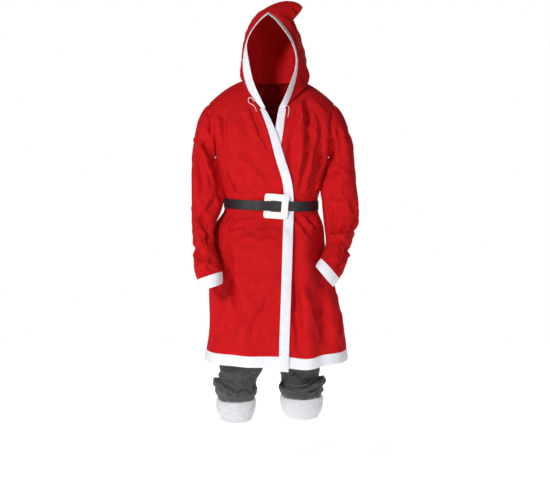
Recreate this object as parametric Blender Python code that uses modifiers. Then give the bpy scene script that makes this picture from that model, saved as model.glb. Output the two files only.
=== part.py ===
"""A santa suit, hollow as worn: hooded coat with white bands, belt, neck tie and plush-cuffed trousers.

Metres, +Z up, the front faces -Y. The origin is where the shoulders carry the coat. Right and left
are the wearer's: right is -X. Every cloth piece is a grid laid on a smooth surface, with a wall.
"""

import math

import bmesh
import bpy
import numpy as np

# Walls and clearances
FELT = 0.0016            # red felt
TRIM = 0.0024            # white brushed band
PLUSH = 0.003            # trouser cuff plush on its backing
TWILL = 0.0016           # trouser cloth
SEAM = 0.0007            # space between two sewn edges
CREASED_SEAM = 0.0013    # one side's share of the space where two sewn edges meet at an angle
SEAT = 0.0004            # space between pieces that lie on each other
LAP = 0.0075             # how far the under front lies inside the upper one

# Bands
BAND = 0.038             # width of the front, hood and cuff bands
HEM_BAND = 0.042
BAND_DROP = 0.014        # how far the right front band reaches below the hem
UNDER_DROP = 0.003       # the same of the left one, which lies under it
SAG = 0.013              # the left front's hem hangs this much lower in its middle
SAG_X = 0.118
SAG_WIDTH = 0.062
SAG_START = -0.80        # the sag grows from this level down

# Coat
MID_X = -0.013           # middle of the body
SQUARE = 2.25            # roundness of a body section: 2 is an ellipse
HEM_Z = -1.066
UNDERARM = -0.275        # level of the underarm; level 0 is the shoulder seam
NECK_LEVEL = -0.12       # level at which the front bands meet the neck seam
ARMHOLE_DEPTH = 0.084    # half the armhole's width, front to back
NECK_X = -0.002          # middle of the neck
NECK_HALF = 0.122        # half the neck seam's width
NECK_BACK = 0.078        # how far the neck seam reaches back

# Belt and buckle
WAIST_Z = -0.456
CINCH = 0.025            # the coat is drawn in flat this far above and below the belt's middle
PRESSED_Y = -0.1336      # the buckle presses the cloth flat to here
STRAP_HEIGHT = 0.037
STRAP_WALL = 0.0024
BUCKLE_WIDTH = 0.092
BUCKLE_HEIGHT = 0.094
BUCKLE_BAR = 0.0255
BUCKLE_WALL = 0.004
BUCKLE_X = 0.004
BUCKLE_TILT = math.radians(-4.5)

COLOURS = {
    "felt": (0.58, 0.008, 0.011),
    "trim": (0.79, 0.79, 0.87),
    "vinyl": (0.016, 0.016, 0.02),
    "plastic": (0.96, 0.96, 0.94),
    "twill": (0.085, 0.085, 0.09),
    "plush": (0.81, 0.82, 0.84),
    "cord": (0.82, 0.66, 0.66),
}
ROUGHNESS = {"vinyl": 0.4, "plastic": 0.3}


# ---- Tables and curves

def through(marks, points, where):
    """Read a smooth curve through points, set at marks along it, at the places in where."""
    marks = np.asarray(marks, float)
    points = np.asarray(points, float)
    where = np.atleast_1d(np.asarray(where, float))
    slopes = np.gradient(points, marks, axis=0)
    first = np.clip(np.searchsorted(marks, where, side="right") - 1, 0, len(marks) - 2)
    extra = (1,) * (points.ndim - 1)
    step = (marks[first + 1] - marks[first]).reshape(-1, *extra)
    part = ((where - marks[first]) / (marks[first + 1] - marks[first])).reshape(-1, *extra)
    return (
        points[first] * (1 + part * part * (2 * part - 3))
        + points[first + 1] * part * part * (3 - 2 * part)
        + slopes[first] * step * part * (1 - part) ** 2
        + slopes[first + 1] * step * part * part * (part - 1)
    )


def table(columns, *rows):
    """A short table with named columns; its first column places the rows."""
    return dict(zip(columns.split(), np.array(rows, float).T))


def read(rows, name, where):
    """One column of a table, read smoothly between its rows."""
    first_column = next(iter(rows.values()))
    where = np.asarray(where, float)
    return through(first_column, rows[name], where.ravel()).reshape(where.shape)


def ease(value, low, high):
    """0 below low, 1 above high, and an even S between them."""
    part = np.clip((np.asarray(value, float) - low) / (high - low), 0, 1)
    return part * part * (3 - 2 * part)


def stack(*columns):
    """Points from arrays of x, y and z."""
    return np.stack(np.broadcast_arrays(*columns), axis=-1)


# ---- Making solids

def material(name):
    """The named finish, made once."""
    found = bpy.data.materials.get(name)
    if found:
        return found
    found = bpy.data.materials.new(name)
    found.use_nodes = True
    shader = found.node_tree.nodes["Principled BSDF"]
    shader.inputs["Base Color"].default_value = (*COLOURS[name], 1)
    shader.inputs["Roughness"].default_value = ROUGHNESS.get(name, 0.9)
    return found


def add_object(name, mesh, finish):
    """Put a mesh in the suit's collection, with its finish."""
    piece = bpy.data.objects.new(name, mesh)
    mesh.materials.append(material(finish))
    bpy.data.collections["santa_suit"].objects.link(piece)
    mesh.shade_smooth()
    mesh.set_sharp_from_angle(angle=math.radians(50))
    return piece


def cloth(name, points, finish, wall, closed=False):
    """A piece of cloth: a grid laid on points, with its wall on the inner side.

    Across a row the points run from one edge to the other so that rows times columns face outwards.
    """
    rows, columns = points.shape[:2]
    shape = bmesh.new()
    bmesh.ops.create_grid(shape, x_segments=columns - 1, y_segments=rows - 1, size=1)
    shape.verts.ensure_lookup_table()
    for vertex, place in zip(shape.verts, points.reshape(-1, 3)):
        vertex.co = place
    if closed:
        bmesh.ops.remove_doubles(shape, verts=shape.verts, dist=0.00005)
    mesh = bpy.data.meshes.new(name)
    shape.to_mesh(mesh)
    shape.free()
    piece = add_object(name, mesh, finish)
    thicken = piece.modifiers.new("Wall", "SOLIDIFY")
    thicken.thickness = wall
    thicken.offset = -1
    return piece


# ---- Body of the coat

# Side seams and the depth of the body; below the underarm a level is a height.
BODY = table(
    "level right_x left_x front_y back_y",
    (HEM_Z, -0.281, 0.290, -0.205, 0.212),
    (-1.02, -0.270, 0.283, -0.202, 0.209),
    (-0.95, -0.258, 0.273, -0.198, 0.206),
    (-0.84, -0.260, 0.251, -0.192, 0.200),
    (-0.72, -0.260, 0.220, -0.182, 0.194),
    (-0.62, -0.250, 0.196, -0.172, 0.186),
    (-0.53, -0.237, 0.189, -0.156, 0.164),
    (WAIST_Z - CINCH, -0.197, 0.167, -0.133, 0.124),
    (WAIST_Z, -0.197, 0.167, -0.133, 0.124),
    (WAIST_Z + CINCH, -0.197, 0.167, -0.133, 0.124),
    (-0.395, -0.208, 0.182, -0.151, 0.140),
    (-0.35, -0.218, 0.192, -0.160, 0.150),
    (UNDERARM, -0.232, 0.209, -0.163, 0.154),
    (-0.20, -0.240, 0.218, -0.152, 0.152),
    (-0.15, -0.246, 0.222, -0.133, 0.142),
    (NECK_LEVEL, -0.249, 0.224, -0.117, 0.130),
    (-0.08, -0.252, 0.226, -0.088, 0.104),
    (-0.04, -0.254, 0.227, -0.050, 0.062),
    (0, -0.255, 0.228, 0, 0),
)

# Height of a row's middle above the underarm, and of its shoulder end.
ROW_MIDDLE = table(
    "level z",
    (UNDERARM, UNDERARM),
    (-0.20, -0.182),
    (NECK_LEVEL, -0.087),
    (-0.08, -0.044),
    (-0.04, -0.004),
    (0, 0.028),
)
SHOULDER_Z = -0.066
SLOPE_START = 0.3         # share of the half width where a shoulder begins to slope
SLOPE_POWER = 1.8
SCOOP = 0.012             # how far an armhole cuts into the body
SKIRT_ROWS = 13           # how finely the panels are divided
CHEST_ROWS = 10
NECK_ROWS = 5
FRONT_COLUMNS = 15
SHOULDER_COLUMNS = 7
NECK_COLUMNS = 6

# Where each front's panel meets its band, and the band's free edge; above the neck level
# the panel follows the neck seam.
RIGHT_FRONT = table(
    "level seam_x free_x",
    (HEM_Z - BAND_DROP, 0.014, 0.051),
    (-0.92, 0.018, 0.056),
    (-0.75, 0.024, 0.062),
    (-0.53, 0.031, 0.069),
    (-0.42, 0.035, 0.070),
    (-0.36, 0.028, 0.063),
    (-0.31, 0.013, 0.048),
    (UNDERARM, 0.001, 0.036),
    (-0.20, -0.022, 0.008),
    (-0.15, -0.043, -0.019),
    (NECK_LEVEL, -0.057, -0.036),
    (-0.08, -0.090, -0.070),
    (-0.04, -0.115, -0.095),
    (0, NECK_X - NECK_HALF, NECK_X - NECK_HALF),
)
LEFT_FRONT = table(
    "level seam_x free_x",
    (HEM_Z - UNDER_DROP, -0.016, -0.054),
    (-0.75, -0.014, -0.052),
    (-0.45, -0.012, -0.050),
    (-0.36, -0.004, -0.041),
    (UNDERARM, 0.014, -0.020),
    (-0.20, 0.030, 0.000),
    (-0.15, 0.037, 0.007),
    (NECK_LEVEL, 0.042, 0.014),
    (-0.08, 0.070, 0.042),
    (-0.04, 0.102, 0.074),
    (0, NECK_X + NECK_HALF, NECK_X + NECK_HALF),
)

# Folds as seen from their own face: a straight ridge (or trough, below 0) from top to bottom.
FRONT_FOLDS = table(
    "top_x top_z low_x low_z width height",
    (-0.093, -0.070, -0.046, -0.225, 0.011, -0.007),
    (-0.200, -0.095, -0.202, -0.280, 0.012, -0.006),
    (-0.127, -0.245, -0.020, -0.302, 0.014, 0.006),
    (-0.160, -0.310, -0.095, -0.340, 0.012, 0.004),
    (-0.180, -0.520, -0.215, -0.640, 0.016, 0.006),
    (-0.135, -0.515, -0.120, -0.640, 0.015, 0.005),
    (-0.140, -0.565, -0.060, -0.535, 0.013, -0.004),
    (-0.110, -0.620, -0.025, -0.560, 0.016, 0.004),
    (-0.185, -0.655, -0.132, -0.870, 0.020, -0.011),
    (-0.225, -0.820, -0.238, -1.080, 0.028, 0.008),
    (-0.165, -0.900, -0.160, -1.080, 0.024, -0.009),
    (-0.095, -0.720, -0.102, -1.080, 0.034, 0.010),
    (-0.035, -0.800, -0.030, -1.080, 0.024, -0.006),
    (0.117, -0.050, 0.120, -0.280, 0.012, -0.007),
    (0.088, -0.080, 0.090, -0.370, 0.013, 0.007),
    (0.158, -0.100, 0.160, -0.265, 0.012, -0.007),
    (0.160, -0.270, 0.125, -0.405, 0.013, -0.006),
    (0.088, -0.120, 0.045, -0.200, 0.012, 0.005),
    (0.080, -0.500, 0.150, -0.560, 0.014, 0.005),
    (0.082, -0.520, 0.080, -1.080, 0.013, -0.007),
    (0.118, -0.540, 0.128, -1.080, 0.028, 0.011),
    (0.172, -0.700, 0.190, -1.080, 0.022, -0.013),
    (0.232, -0.800, 0.246, -1.080, 0.024, 0.008),
)
BACK_FOLDS = table(
    "top_x top_z low_x low_z width height",
    (-0.150, -0.090, -0.165, -0.270, 0.016, -0.006),
    (0.125, -0.100, 0.150, -0.290, 0.016, -0.006),
    (-0.090, -0.250, 0.070, -0.330, 0.020, 0.005),
    (-0.060, -0.320, -0.100, -0.410, 0.014, 0.005),
    (0.070, -0.300, 0.060, -0.410, 0.014, 0.006),
    (-0.185, -0.560, -0.215, -1.080, 0.026, 0.010),
    (-0.120, -0.540, -0.145, -1.080, 0.022, -0.011),
    (-0.050, -0.560, -0.065, -1.080, 0.030, 0.011),
    (0.030, -0.540, 0.025, -1.080, 0.024, -0.009),
    (0.095, -0.580, 0.115, -1.080, 0.030, 0.011),
    (0.165, -0.560, 0.195, -1.080, 0.024, -0.009),
)
GATHER = 0.0032          # height of the small pleats that the belt draws in
GATHER_PITCH = 0.033


def fold_heights(folds, x, z):
    """Sum of a face's folds at x and z, each faded out along its length and across its width."""
    total = np.zeros(np.broadcast(x, z).shape)
    for top_x, top_z, low_x, low_z, width, height in zip(*folds.values()):
        run_x, run_z = low_x - top_x, low_z - top_z
        length = math.hypot(run_x, run_z)
        along = ((x - top_x) * run_x + (z - top_z) * run_z) / length
        across = ((x - top_x) * run_z - (z - top_z) * run_x) / length
        fade = ease(along, -0.02, 0.03) * (1 - ease(along, length - 0.03, length + 0.02))
        total = total + height * fade * np.exp(-((across / width) ** 2))
    return total


def gathers(arc, z):
    """Small uneven pleats just above and below the belt."""
    wave = np.cos(2 * math.pi * arc / GATHER_PITCH) + 0.6 * np.cos(3.7 * math.pi * arc / GATHER_PITCH + 1)
    above = ease(z, WAIST_Z + 0.018, WAIST_Z + 0.04) * (1 - ease(z, WAIST_Z + 0.05, WAIST_Z + 0.11))
    below = (1 - ease(z, WAIST_Z - 0.045, WAIST_Z - 0.018)) * ease(z, WAIST_Z - 0.14, WAIST_Z - 0.05)
    return GATHER * wave * (above + below)


def side_edge(side, face, level):
    """Side seam below the underarm and half an armhole above it; side 1 is +X, face -1 the front."""
    column = "left_x" if side > 0 else "right_x"
    turn = math.pi * np.clip((level - UNDERARM) / -UNDERARM, 0, 1)
    swing = (1 - np.cos(turn)) / 2
    low_x, high_x = read(BODY, column, [UNDERARM, 0])
    seam_x = read(BODY, column, np.minimum(level, UNDERARM))
    x = np.where(turn > 0, low_x + (high_x - low_x) * swing, seam_x) - side * SCOOP * np.sin(turn)
    z = np.where(turn > 0, UNDERARM + (SHOULDER_Z - UNDERARM) * swing, level)
    return x, face * ARMHOLE_DEPTH * np.sin(turn), z


def turn_at(side, x, level):
    """How far round the body x lies: 0 at the side, a quarter turn at the middle, then past it."""
    side_x = side_edge(side, -1, level)[0]
    share = np.clip((x - MID_X) / (side_x - MID_X), -1, 1)
    return np.arccos(np.sign(share) * np.abs(share) ** (SQUARE / 2))


def body(side, face, turns, levels, inward=0.0, folded=True):
    """Points on the body, a row for each level; turns is a row, or rows, from turn_at."""
    level = np.asarray(levels, float)[:, None]
    side_x, side_y, side_z = side_edge(side, face, level)
    share = np.sign(np.cos(turns)) * np.abs(np.cos(turns)) ** (2 / SQUARE)
    bulge = np.abs(np.sin(turns)) ** (2 / SQUARE)
    depth = read(BODY, "front_y" if face < 0 else "back_y", level)
    middle_z = np.where(level > UNDERARM, read(ROW_MIDDLE, "z", np.maximum(level, UNDERARM)), level)
    fall = np.clip((np.abs(share) - SLOPE_START) / (1 - SLOPE_START), 0, 1) ** SLOPE_POWER
    x = MID_X + (side_x - MID_X) * share
    y = side_y + (depth - side_y) * bulge
    z = middle_z + (side_z - middle_z) * fall
    if face > 0:
        reach = np.sqrt(np.clip(1 - ((x - NECK_X) / NECK_HALF) ** 2, 0, 1))
        y = y + NECK_BACK * reach * ease(level, -0.10, 0)
        z = z - 0.012 * reach * ease(level, -0.10, 0)
    if face < 0:
        low = ease(SAG_START - level, 0, SAG_START - HEM_Z)
        z = z - SAG * np.exp(-(((x - SAG_X) / SAG_WIDTH) ** 2)) * low
    lift = -inward
    if folded:
        folds = FRONT_FOLDS if face < 0 else BACK_FOLDS
        quiet = ease(np.abs(z - WAIST_Z), CINCH, CINCH + 0.03)
        near_side = ease(np.abs(np.sin(turns)), 0.05, 0.3)
        near_top = 1 - ease(level, -0.10, -0.03)
        pleats = gathers(side * (math.pi / 2 - turns) * 0.2, z)
        if face < 0:
            pleats = pleats * ease(np.abs(x - 0.01), 0.07, 0.12)
        lift = lift + (fold_heights(folds, x, z) * near_side * near_top + pleats) * quiet
    out_x, out_y = side * np.cos(turns), face * np.abs(np.sin(turns))
    y = y + out_y * lift
    if face < 0:
        behind = 1 - ease(np.hypot(x - BUCKLE_X, z - WAIST_Z), 0.088, 0.125)
        y = y + behind * np.clip(PRESSED_Y - y + inward, 0, 1)
    return stack(x + out_x * lift, y, z)


def lap_inset(x):
    """How far the under front lies inside the upper one, at x."""
    return LAP * (1 - ease(x, 0.078, 0.115))


def panel_levels():
    """The panels' rows, closer together about the belt, with one where the bands end."""
    below, above = WAIST_Z - CINCH, WAIST_Z + CINCH
    skirt = below + (HEM_TOP - below) * np.linspace(1, 0, SKIRT_ROWS) ** 1.3
    chest = above + (NECK_LEVEL - above) * np.linspace(0, 1, CHEST_ROWS) ** 1.15
    return np.concatenate([skirt, (WAIST_Z,), chest, np.linspace(NECK_LEVEL, 0, NECK_ROWS)[1:]])


def front_rows(side, edges, levels, shares, start, end):
    """Points of a front between two columns of its edge table, or from one to the side seam."""
    levels = np.asarray(levels, float)
    first = turn_at(side, read(edges, start, levels), levels)
    last = turn_at(side, read(edges, end, levels), levels) if end else np.full(len(levels), 0.0)
    turns = first[:, None] + (last - first)[:, None] * np.asarray(shares)[None, :]
    points = body(side, -1, turns, levels)
    if side > 0:
        inset = lap_inset(points[..., 0])
        points = points + stack(0 * inset, inset, 0 * inset)
    return points


def trim_edges(points, first_row=0.0, last_row=0.0, first_column=0.0, last_column=0.0):
    """Move the outer rows and columns in along the cloth, to part it from its neighbours."""
    points = points.copy()
    for line, beyond, distance in (
        (np.s_[0], np.s_[1], first_row),
        (np.s_[-1], np.s_[-2], last_row),
        (np.s_[:, 0], np.s_[:, 1], first_column),
        (np.s_[:, -1], np.s_[:, -2], last_column),
    ):
        run = points[beyond] - points[line]
        length = np.linalg.norm(run, axis=-1, keepdims=True)
        points[line] = points[line] + run / length * distance
    return points


def facing_out(points, side, face):
    """Order a row's points so that the cloth faces away from the body."""
    return points[:, ::-1] if side * face > 0 else points


HEM_TOP = HEM_Z + HEM_BAND
PANEL_LEVELS = panel_levels()
HEM_LEVELS = np.array([HEM_Z, HEM_TOP])


def make_fronts():
    """Two front panels, each with its front band and its piece of hem band."""
    for side, edges, drop, name in (
        (-1, RIGHT_FRONT, BAND_DROP, "right"),
        (1, LEFT_FRONT, UNDER_DROP, "left"),
    ):
        shares = np.linspace(0, 1, FRONT_COLUMNS)
        panel = front_rows(side, edges, PANEL_LEVELS, shares, "seam_x", None)
        panel = trim_edges(panel, SEAM / 2, CREASED_SEAM, SEAM / 2, SEAM / 2)
        cloth("front_" + name, facing_out(panel, side, -1), "felt", FELT)
        hem = front_rows(side, edges, HEM_LEVELS, shares, "seam_x", None)
        hem = trim_edges(hem, 0, SEAM / 2, SEAM / 2, SEAM / 2)
        cloth("hem_band_front_" + name, facing_out(hem, side, -1), "trim", TRIM)
        levels = np.concatenate([(HEM_Z - drop,), PANEL_LEVELS[PANEL_LEVELS < NECK_LEVEL + SEAM]])
        band = front_rows(side, edges, levels, (0, 0.5, 1), "free_x", "seam_x")
        band = trim_edges(band, 0, SEAM / 2, 0, SEAM / 2)
        cloth("front_band_" + name, facing_out(band, side, -1), "trim", TRIM)


def back_rows(levels):
    """Points of the whole back, from the right side seam to the left one."""
    halves = []
    for side in (-1, 1):
        neck_turn = float(turn_at(side, NECK_X + side * NECK_HALF, 0))
        shoulder = np.linspace(0, neck_turn, SHOULDER_COLUMNS)
        half = np.concatenate([shoulder, np.linspace(neck_turn, math.pi / 2, NECK_COLUMNS)[1:]])
        halves.append(body(side, 1, half[None, :], levels))
    right, left = halves
    middle = (right[:, -1:] + left[:, -1:]) / 2
    return np.concatenate([right[:, :-1], middle, left[:, -2::-1]], axis=1)


def make_back():
    """The back panel and its hem band."""
    panel = trim_edges(back_rows(PANEL_LEVELS), SEAM / 2, CREASED_SEAM, SEAM / 2, SEAM / 2)
    cloth("back", panel[:, ::-1], "felt", FELT)
    hem = trim_edges(back_rows(HEM_LEVELS), 0, SEAM / 2, SEAM / 2, SEAM / 2)
    cloth("hem_band_back", hem[:, ::-1], "trim", TRIM)


# ---- Sleeves

# A sleeve's rings from armhole to wrist: the ends of each ring across the arm, its middle from
# front to back, half its depth there, how far its front is raised, and the armhole's scoop.
RIGHT_SLEEVE = table(
    "at outer_x outer_z inner_x inner_z y depth lean scoop",
    (0, -0.255, SHOULDER_Z, -0.232, UNDERARM, 0, ARMHOLE_DEPTH, 0, SCOOP),
    (1, -0.279, -0.084, -0.239, -0.277, 0, 0.084, 0, 0.006),
    (2, -0.303, -0.134, -0.2385, -0.285, -0.002, 0.081, 0, 0),
    (3, -0.318, -0.200, -0.2305, -0.302, -0.009, 0.076, 0, 0),
    (4, -0.325, -0.270, -0.2235, -0.330, -0.021, 0.071, 0, 0),
    (5, -0.327, -0.350, -0.2145, -0.371, -0.040, 0.068, 0, 0),
    (6, -0.325, -0.430, -0.2005, -0.425, -0.050, 0.065, 0, 0),
    (7, -0.323, -0.487, -0.2125, -0.489, -0.060, 0.062, 0.05, 0),
    (8, -0.320, -0.542, -0.235, -0.548, -0.087, 0.058, 0.2, 0),
    (9, -0.313, -0.603, -0.235, -0.608, -0.116, 0.055, 0.35, 0),
    (10, -0.307, -0.649, -0.218, -0.644, -0.136, 0.054, 0.4, 0),
    (11, -0.313, -0.684, -0.208, -0.674, -0.152, 0.056, 0.3, 0),
    (12, -0.296, -0.734, -0.198, -0.702, -0.174, 0.056, 0.16, 0),
    (13, -0.275, -0.768, -0.197, -0.745, -0.184, 0.055, 0.04, 0),
)
LEFT_SLEEVE = table(
    "at outer_x outer_z inner_x inner_z y depth lean scoop",
    (0, 0.228, SHOULDER_Z, 0.209, UNDERARM, 0, ARMHOLE_DEPTH, 0, SCOOP),
    (1, 0.254, -0.086, 0.215, -0.278, 0, 0.084, 0, 0.006),
    (2, 0.278, -0.136, 0.2145, -0.286, -0.002, 0.081, 0, 0),
    (3, 0.302, -0.217, 0.2060, -0.304, -0.009, 0.077, 0, 0),
    (4, 0.309, -0.290, 0.1965, -0.334, -0.021, 0.073, 0, 0),
    (5, 0.314, -0.355, 0.1860, -0.374, -0.033, 0.070, 0, 0),
    (6, 0.325, -0.438, 0.1775, -0.425, -0.042, 0.068, 0, 0),
    (7, 0.325, -0.494, 0.184, -0.500, -0.046, 0.065, 0.1, 0),
    (8, 0.311, -0.562, 0.192, -0.566, -0.062, 0.060, 0.25, 0),
    (9, 0.292, -0.602, 0.195, -0.602, -0.080, 0.057, 0.35, 0),
    (10, 0.287, -0.638, 0.188, -0.628, -0.100, 0.056, 0.4, 0),
    (11, 0.273, -0.687, 0.178, -0.645, -0.126, 0.055, 0.3, 0),
    (12, 0.246, -0.734, 0.173, -0.653, -0.148, 0.054, 0.16, 0),
    (13, 0.223, -0.763, 0.153, -0.682, -0.160, 0.053, 0.04, 0),
)
WRIST_RING = 12
CUFF_RING = 13
SLEEVE_ROWS = 19
SLEEVE_COLUMNS = 16

# Folds on a sleeve: ring and turn where a fold starts and ends (turn 0 is the inner side, 90 the
# front, 180 the outer side, 270 the back), its width in metres and height.
SLEEVE_FOLDS = table(
    "top_at top_turn low_at low_turn width height",
    (0.8, 150, 3.5, 120, 0.014, -0.005),
    (2.0, 60, 6.0, 80, 0.012, -0.006),
    (3.5, 120, 6.2, 165, 0.014, 0.004),
    (5.8, 20, 7.0, 110, 0.011, -0.005),
    (7.0, 15, 8.0, 120, 0.011, -0.005),
    (6.4, 100, 7.6, 175, 0.012, 0.004),
    (8.8, 60, 9.6, 150, 0.010, -0.004),
    (10.0, 40, 11.4, 110, 0.010, 0.004),
    (1.0, 215, 4.0, 245, 0.014, -0.005),
    (5.5, 300, 7.0, 220, 0.012, 0.005),
    (7.0, 330, 8.2, 235, 0.012, -0.005),
    (9.0, 300, 10.5, 250, 0.011, 0.004),
)
RING_PITCH = 0.055       # mean distance between a sleeve's rings
RING_RADIUS = 0.06


def sleeve_rings(side, rings, places, columns):
    """Rings of a sleeve, each starting and ending on its inner side."""
    turn = np.linspace(0, 2 * math.pi, columns)[None, :]
    at = np.asarray(places, float)[:, None]
    outer_x, outer_z, inner_x, inner_z, middle_y, depth, lean, scoop = (
        read(rings, name, at)
        for name in "outer_x outer_z inner_x inner_z y depth lean scoop".split()
    )
    across = (1 - np.cos(turn)) / 2
    forward = np.sin(turn)
    x = inner_x + (outer_x - inner_x) * across - side * scoop * np.abs(forward)
    y = middle_y - depth * forward
    z = inner_z + (outer_z - inner_z) * across + lean * depth * forward
    lift = np.zeros(x.shape)
    for top_at, top_turn, low_at, low_turn, width, height in zip(*SLEEVE_FOLDS.values()):
        run = np.array([(low_at - top_at) * RING_PITCH, math.radians(low_turn - top_turn) * RING_RADIUS])
        length = math.hypot(*run)
        down = (at - top_at) * RING_PITCH
        round_arm = (turn - math.radians(top_turn)) * RING_RADIUS
        along = (down * run[0] + round_arm * run[1]) / length
        off = (down * run[1] - round_arm * run[0]) / length
        fade = ease(along, -0.02, 0.02) * (1 - ease(along, length - 0.02, length + 0.02))
        lift = lift + height * fade * np.exp(-((off / width) ** 2))
    lift = lift * ease(at, 0, 1) * (1 - ease(at, WRIST_RING - 1, WRIST_RING)) * ease(across, 0.02, 0.2)
    return stack(x - side * np.cos(turn) * lift, y - forward * lift, z)


def make_sleeves():
    """Two sleeves with their cuff bands."""
    for side, rings, name in ((-1, RIGHT_SLEEVE, "right"), (1, LEFT_SLEEVE, "left")):
        tube = sleeve_rings(side, rings, np.linspace(0, WRIST_RING, SLEEVE_ROWS), SLEEVE_COLUMNS)
        cuff = sleeve_rings(side, rings, (WRIST_RING, CUFF_RING), SLEEVE_COLUMNS)
        tube = trim_edges(tube, CREASED_SEAM, SEAM / 2)
        cuff = trim_edges(cuff, SEAM)
        cloth("sleeve_" + name, tube[:, ::-side], "felt", FELT, closed=True)
        cloth("cuff_band_" + name, cuff[:, ::-side], "trim", TRIM, closed=True)


# ---- Hood

# The hood's rows from the neck seam (0) past the top of the face opening (9) to the bent point (15).
# A rim is where the face opening's band is sewn on, with the way the band turns from there.
RIGHT_RIM = table(
    "at x y z turn_x turn_z",
    (1, -0.098, -0.096, -0.030, 0.034, 0),
    (2, -0.116, -0.072, 0.015, 0.033, 0),
    (3, -0.1245, -0.055, 0.060, 0.030, 0),
    (4, -0.124, -0.048, 0.105, 0.021, 0),
    (5, -0.1165, -0.046, 0.150, 0.006, 0),
    (6, -0.1025, -0.048, 0.190, 0.003, -0.001),
    (7, -0.078, -0.051, 0.228, 0.002, -0.003),
    (8, -0.053, -0.053, 0.257, 0.001, -0.006),
    (9, -0.0256, -0.054, 0.280, 0, -0.010),
)
LEFT_RIM = table(
    "at x y z turn_x turn_z",
    (1, 0.062, -0.103, -0.045, -0.025, 0),
    (2, 0.078, -0.090, 0.010, -0.018, 0),
    (3, 0.0865, -0.080, 0.055, -0.010, 0),
    (4, 0.088, -0.075, 0.100, -0.006, 0),
    (5, 0.0785, -0.071, 0.145, -0.007, 0),
    (6, 0.064, -0.067, 0.185, -0.011, -0.002),
    (7, 0.040, -0.063, 0.221, -0.012, -0.005),
    (8, 0.011, -0.058, 0.255, -0.007, -0.009),
    (9, -0.0256, -0.054, 0.280, 0, -0.010),
)
PEAK_SEAM = table(
    "at x y z",
    (10, 0.000, -0.048, 0.289),
    (11, 0.024, -0.038, 0.296),
    (12, 0.048, -0.026, 0.300),
    (13, 0.071, -0.012, 0.304),
    (14, 0.092, 0.000, 0.3055),
    (15, 0.1045, 0.0105, 0.304),
)
HOOD_SIDES = table(
    "at right_x right_z left_x left_z y",
    (1, -0.1275, 0.045, 0.1345, 0.034, 0.006),
    (2, -0.127, 0.085, 0.131, 0.062, 0.010),
    (3, -0.1265, 0.120, 0.1255, 0.092, 0.012),
    (4, -0.123, 0.152, 0.115, 0.120, 0.014),
    (5, -0.1165, 0.185, 0.1045, 0.145, 0.014),
    (6, -0.106, 0.214, 0.0965, 0.168, 0.015),
    (7, -0.093, 0.245, 0.091, 0.194, 0.017),
    (8, -0.076, 0.272, 0.0855, 0.220, 0.018),
    (9, -0.054, 0.2895, 0.0765, 0.240, 0.020),
    (10, -0.028, 0.305, 0.0695, 0.2515, 0.020),
    (11, 0.002, 0.3205, 0.0745, 0.2585, 0.019),
    (12, 0.032, 0.328, 0.083, 0.268, 0.018),
    (13, 0.063, 0.3275, 0.093, 0.279, 0.016),
    (14, 0.089, 0.3205, 0.1015, 0.291, 0.014),
    (15, 0.104, 0.308, 0.1065, 0.300, 0.014),
)
BACK_SEAM = table(
    "at x y z",
    (1, -0.004, 0.096, 0.065),
    (2, -0.002, 0.118, 0.115),
    (3, 0.000, 0.128, 0.163),
    (4, 0.002, 0.128, 0.205),
    (5, 0.004, 0.122, 0.238),
    (6, 0.006, 0.113, 0.259),
    (7, 0.008, 0.108, 0.272),
    (8, 0.011, 0.104, 0.281),
    (9, 0.016, 0.098, 0.287),
    (10, 0.027, 0.086, 0.291),
    (11, 0.042, 0.071, 0.296),
    (12, 0.059, 0.056, 0.300),
    (13, 0.078, 0.041, 0.304),
    (14, 0.095, 0.028, 0.3055),
    (15, 0.106, 0.0175, 0.304),
)
APEX_ROW = 9
NECK_LIFT = 0.0013
POINT_ROW = 15
RIM_ROWS = 15
PEAK_ROWS = 9
BAND_ROWS = 17
FRONT_SHARES = np.linspace(0, 1, 5)
BACK_SHARES = np.linspace(0, 1, 7)[1:]


def swing(start, end, middle, share):
    """A point on the arc from start to end about a middle, with its radius changing evenly."""
    first, last = start - middle, end - middle
    cosine = first @ last / (np.linalg.norm(first) * np.linalg.norm(last))
    angle = math.acos(max(-1, min(1, cosine)))
    blend = math.sin((1 - share) * angle) * first + math.sin(share * angle) * last
    return middle + blend / math.sin(angle)


def lifted(points):
    """Points raised off the coat's neck edge, which the hood's edge laps over."""
    away = stack(0 * points[:, 0], points[:, 1] / NECK_BACK, 1 + 0 * points[:, 0])
    return points + away / np.linalg.norm(away, axis=1, keepdims=True) * NECK_LIFT


def neck_row(side, edges):
    """The neck seam from a front band round to the middle of the back."""
    front = front_rows(side, edges, np.linspace(NECK_LEVEL, 0, len(FRONT_SHARES)), (0,), "seam_x", None)
    neck_turn = float(turn_at(side, NECK_X + side * NECK_HALF, 0))
    turns = neck_turn + (math.pi / 2 - neck_turn) * BACK_SHARES
    return lifted(np.concatenate([front[:, 0], body(side, 1, turns[None, :], (0,))[0]]))


def place(rows, at, *columns):
    """A point of a table."""
    return np.array([float(read(rows, name, at)) for name in columns])


def hood_half(side, edges, rim):
    """Rows of half the hood, from its rim or front seam to its back seam."""
    rows = [neck_row(side, edges)]
    for at in range(1, POINT_ROW + 1):
        front = place(rim if at <= APEX_ROW else PEAK_SEAM, at, "x", "y", "z")
        right = place(HOOD_SIDES, at, "right_x", "y", "right_z")
        left = place(HOOD_SIDES, at, "left_x", "y", "left_z")
        back = place(BACK_SEAM, at, "x", "y", "z")
        middle = (right + left) / 2
        widest = left if side > 0 else right
        rows.append(
            [swing(front, widest, middle, share) for share in FRONT_SHARES]
            + [swing(widest, back, middle, share) for share in BACK_SHARES]
        )
    return np.array(rows)


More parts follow.
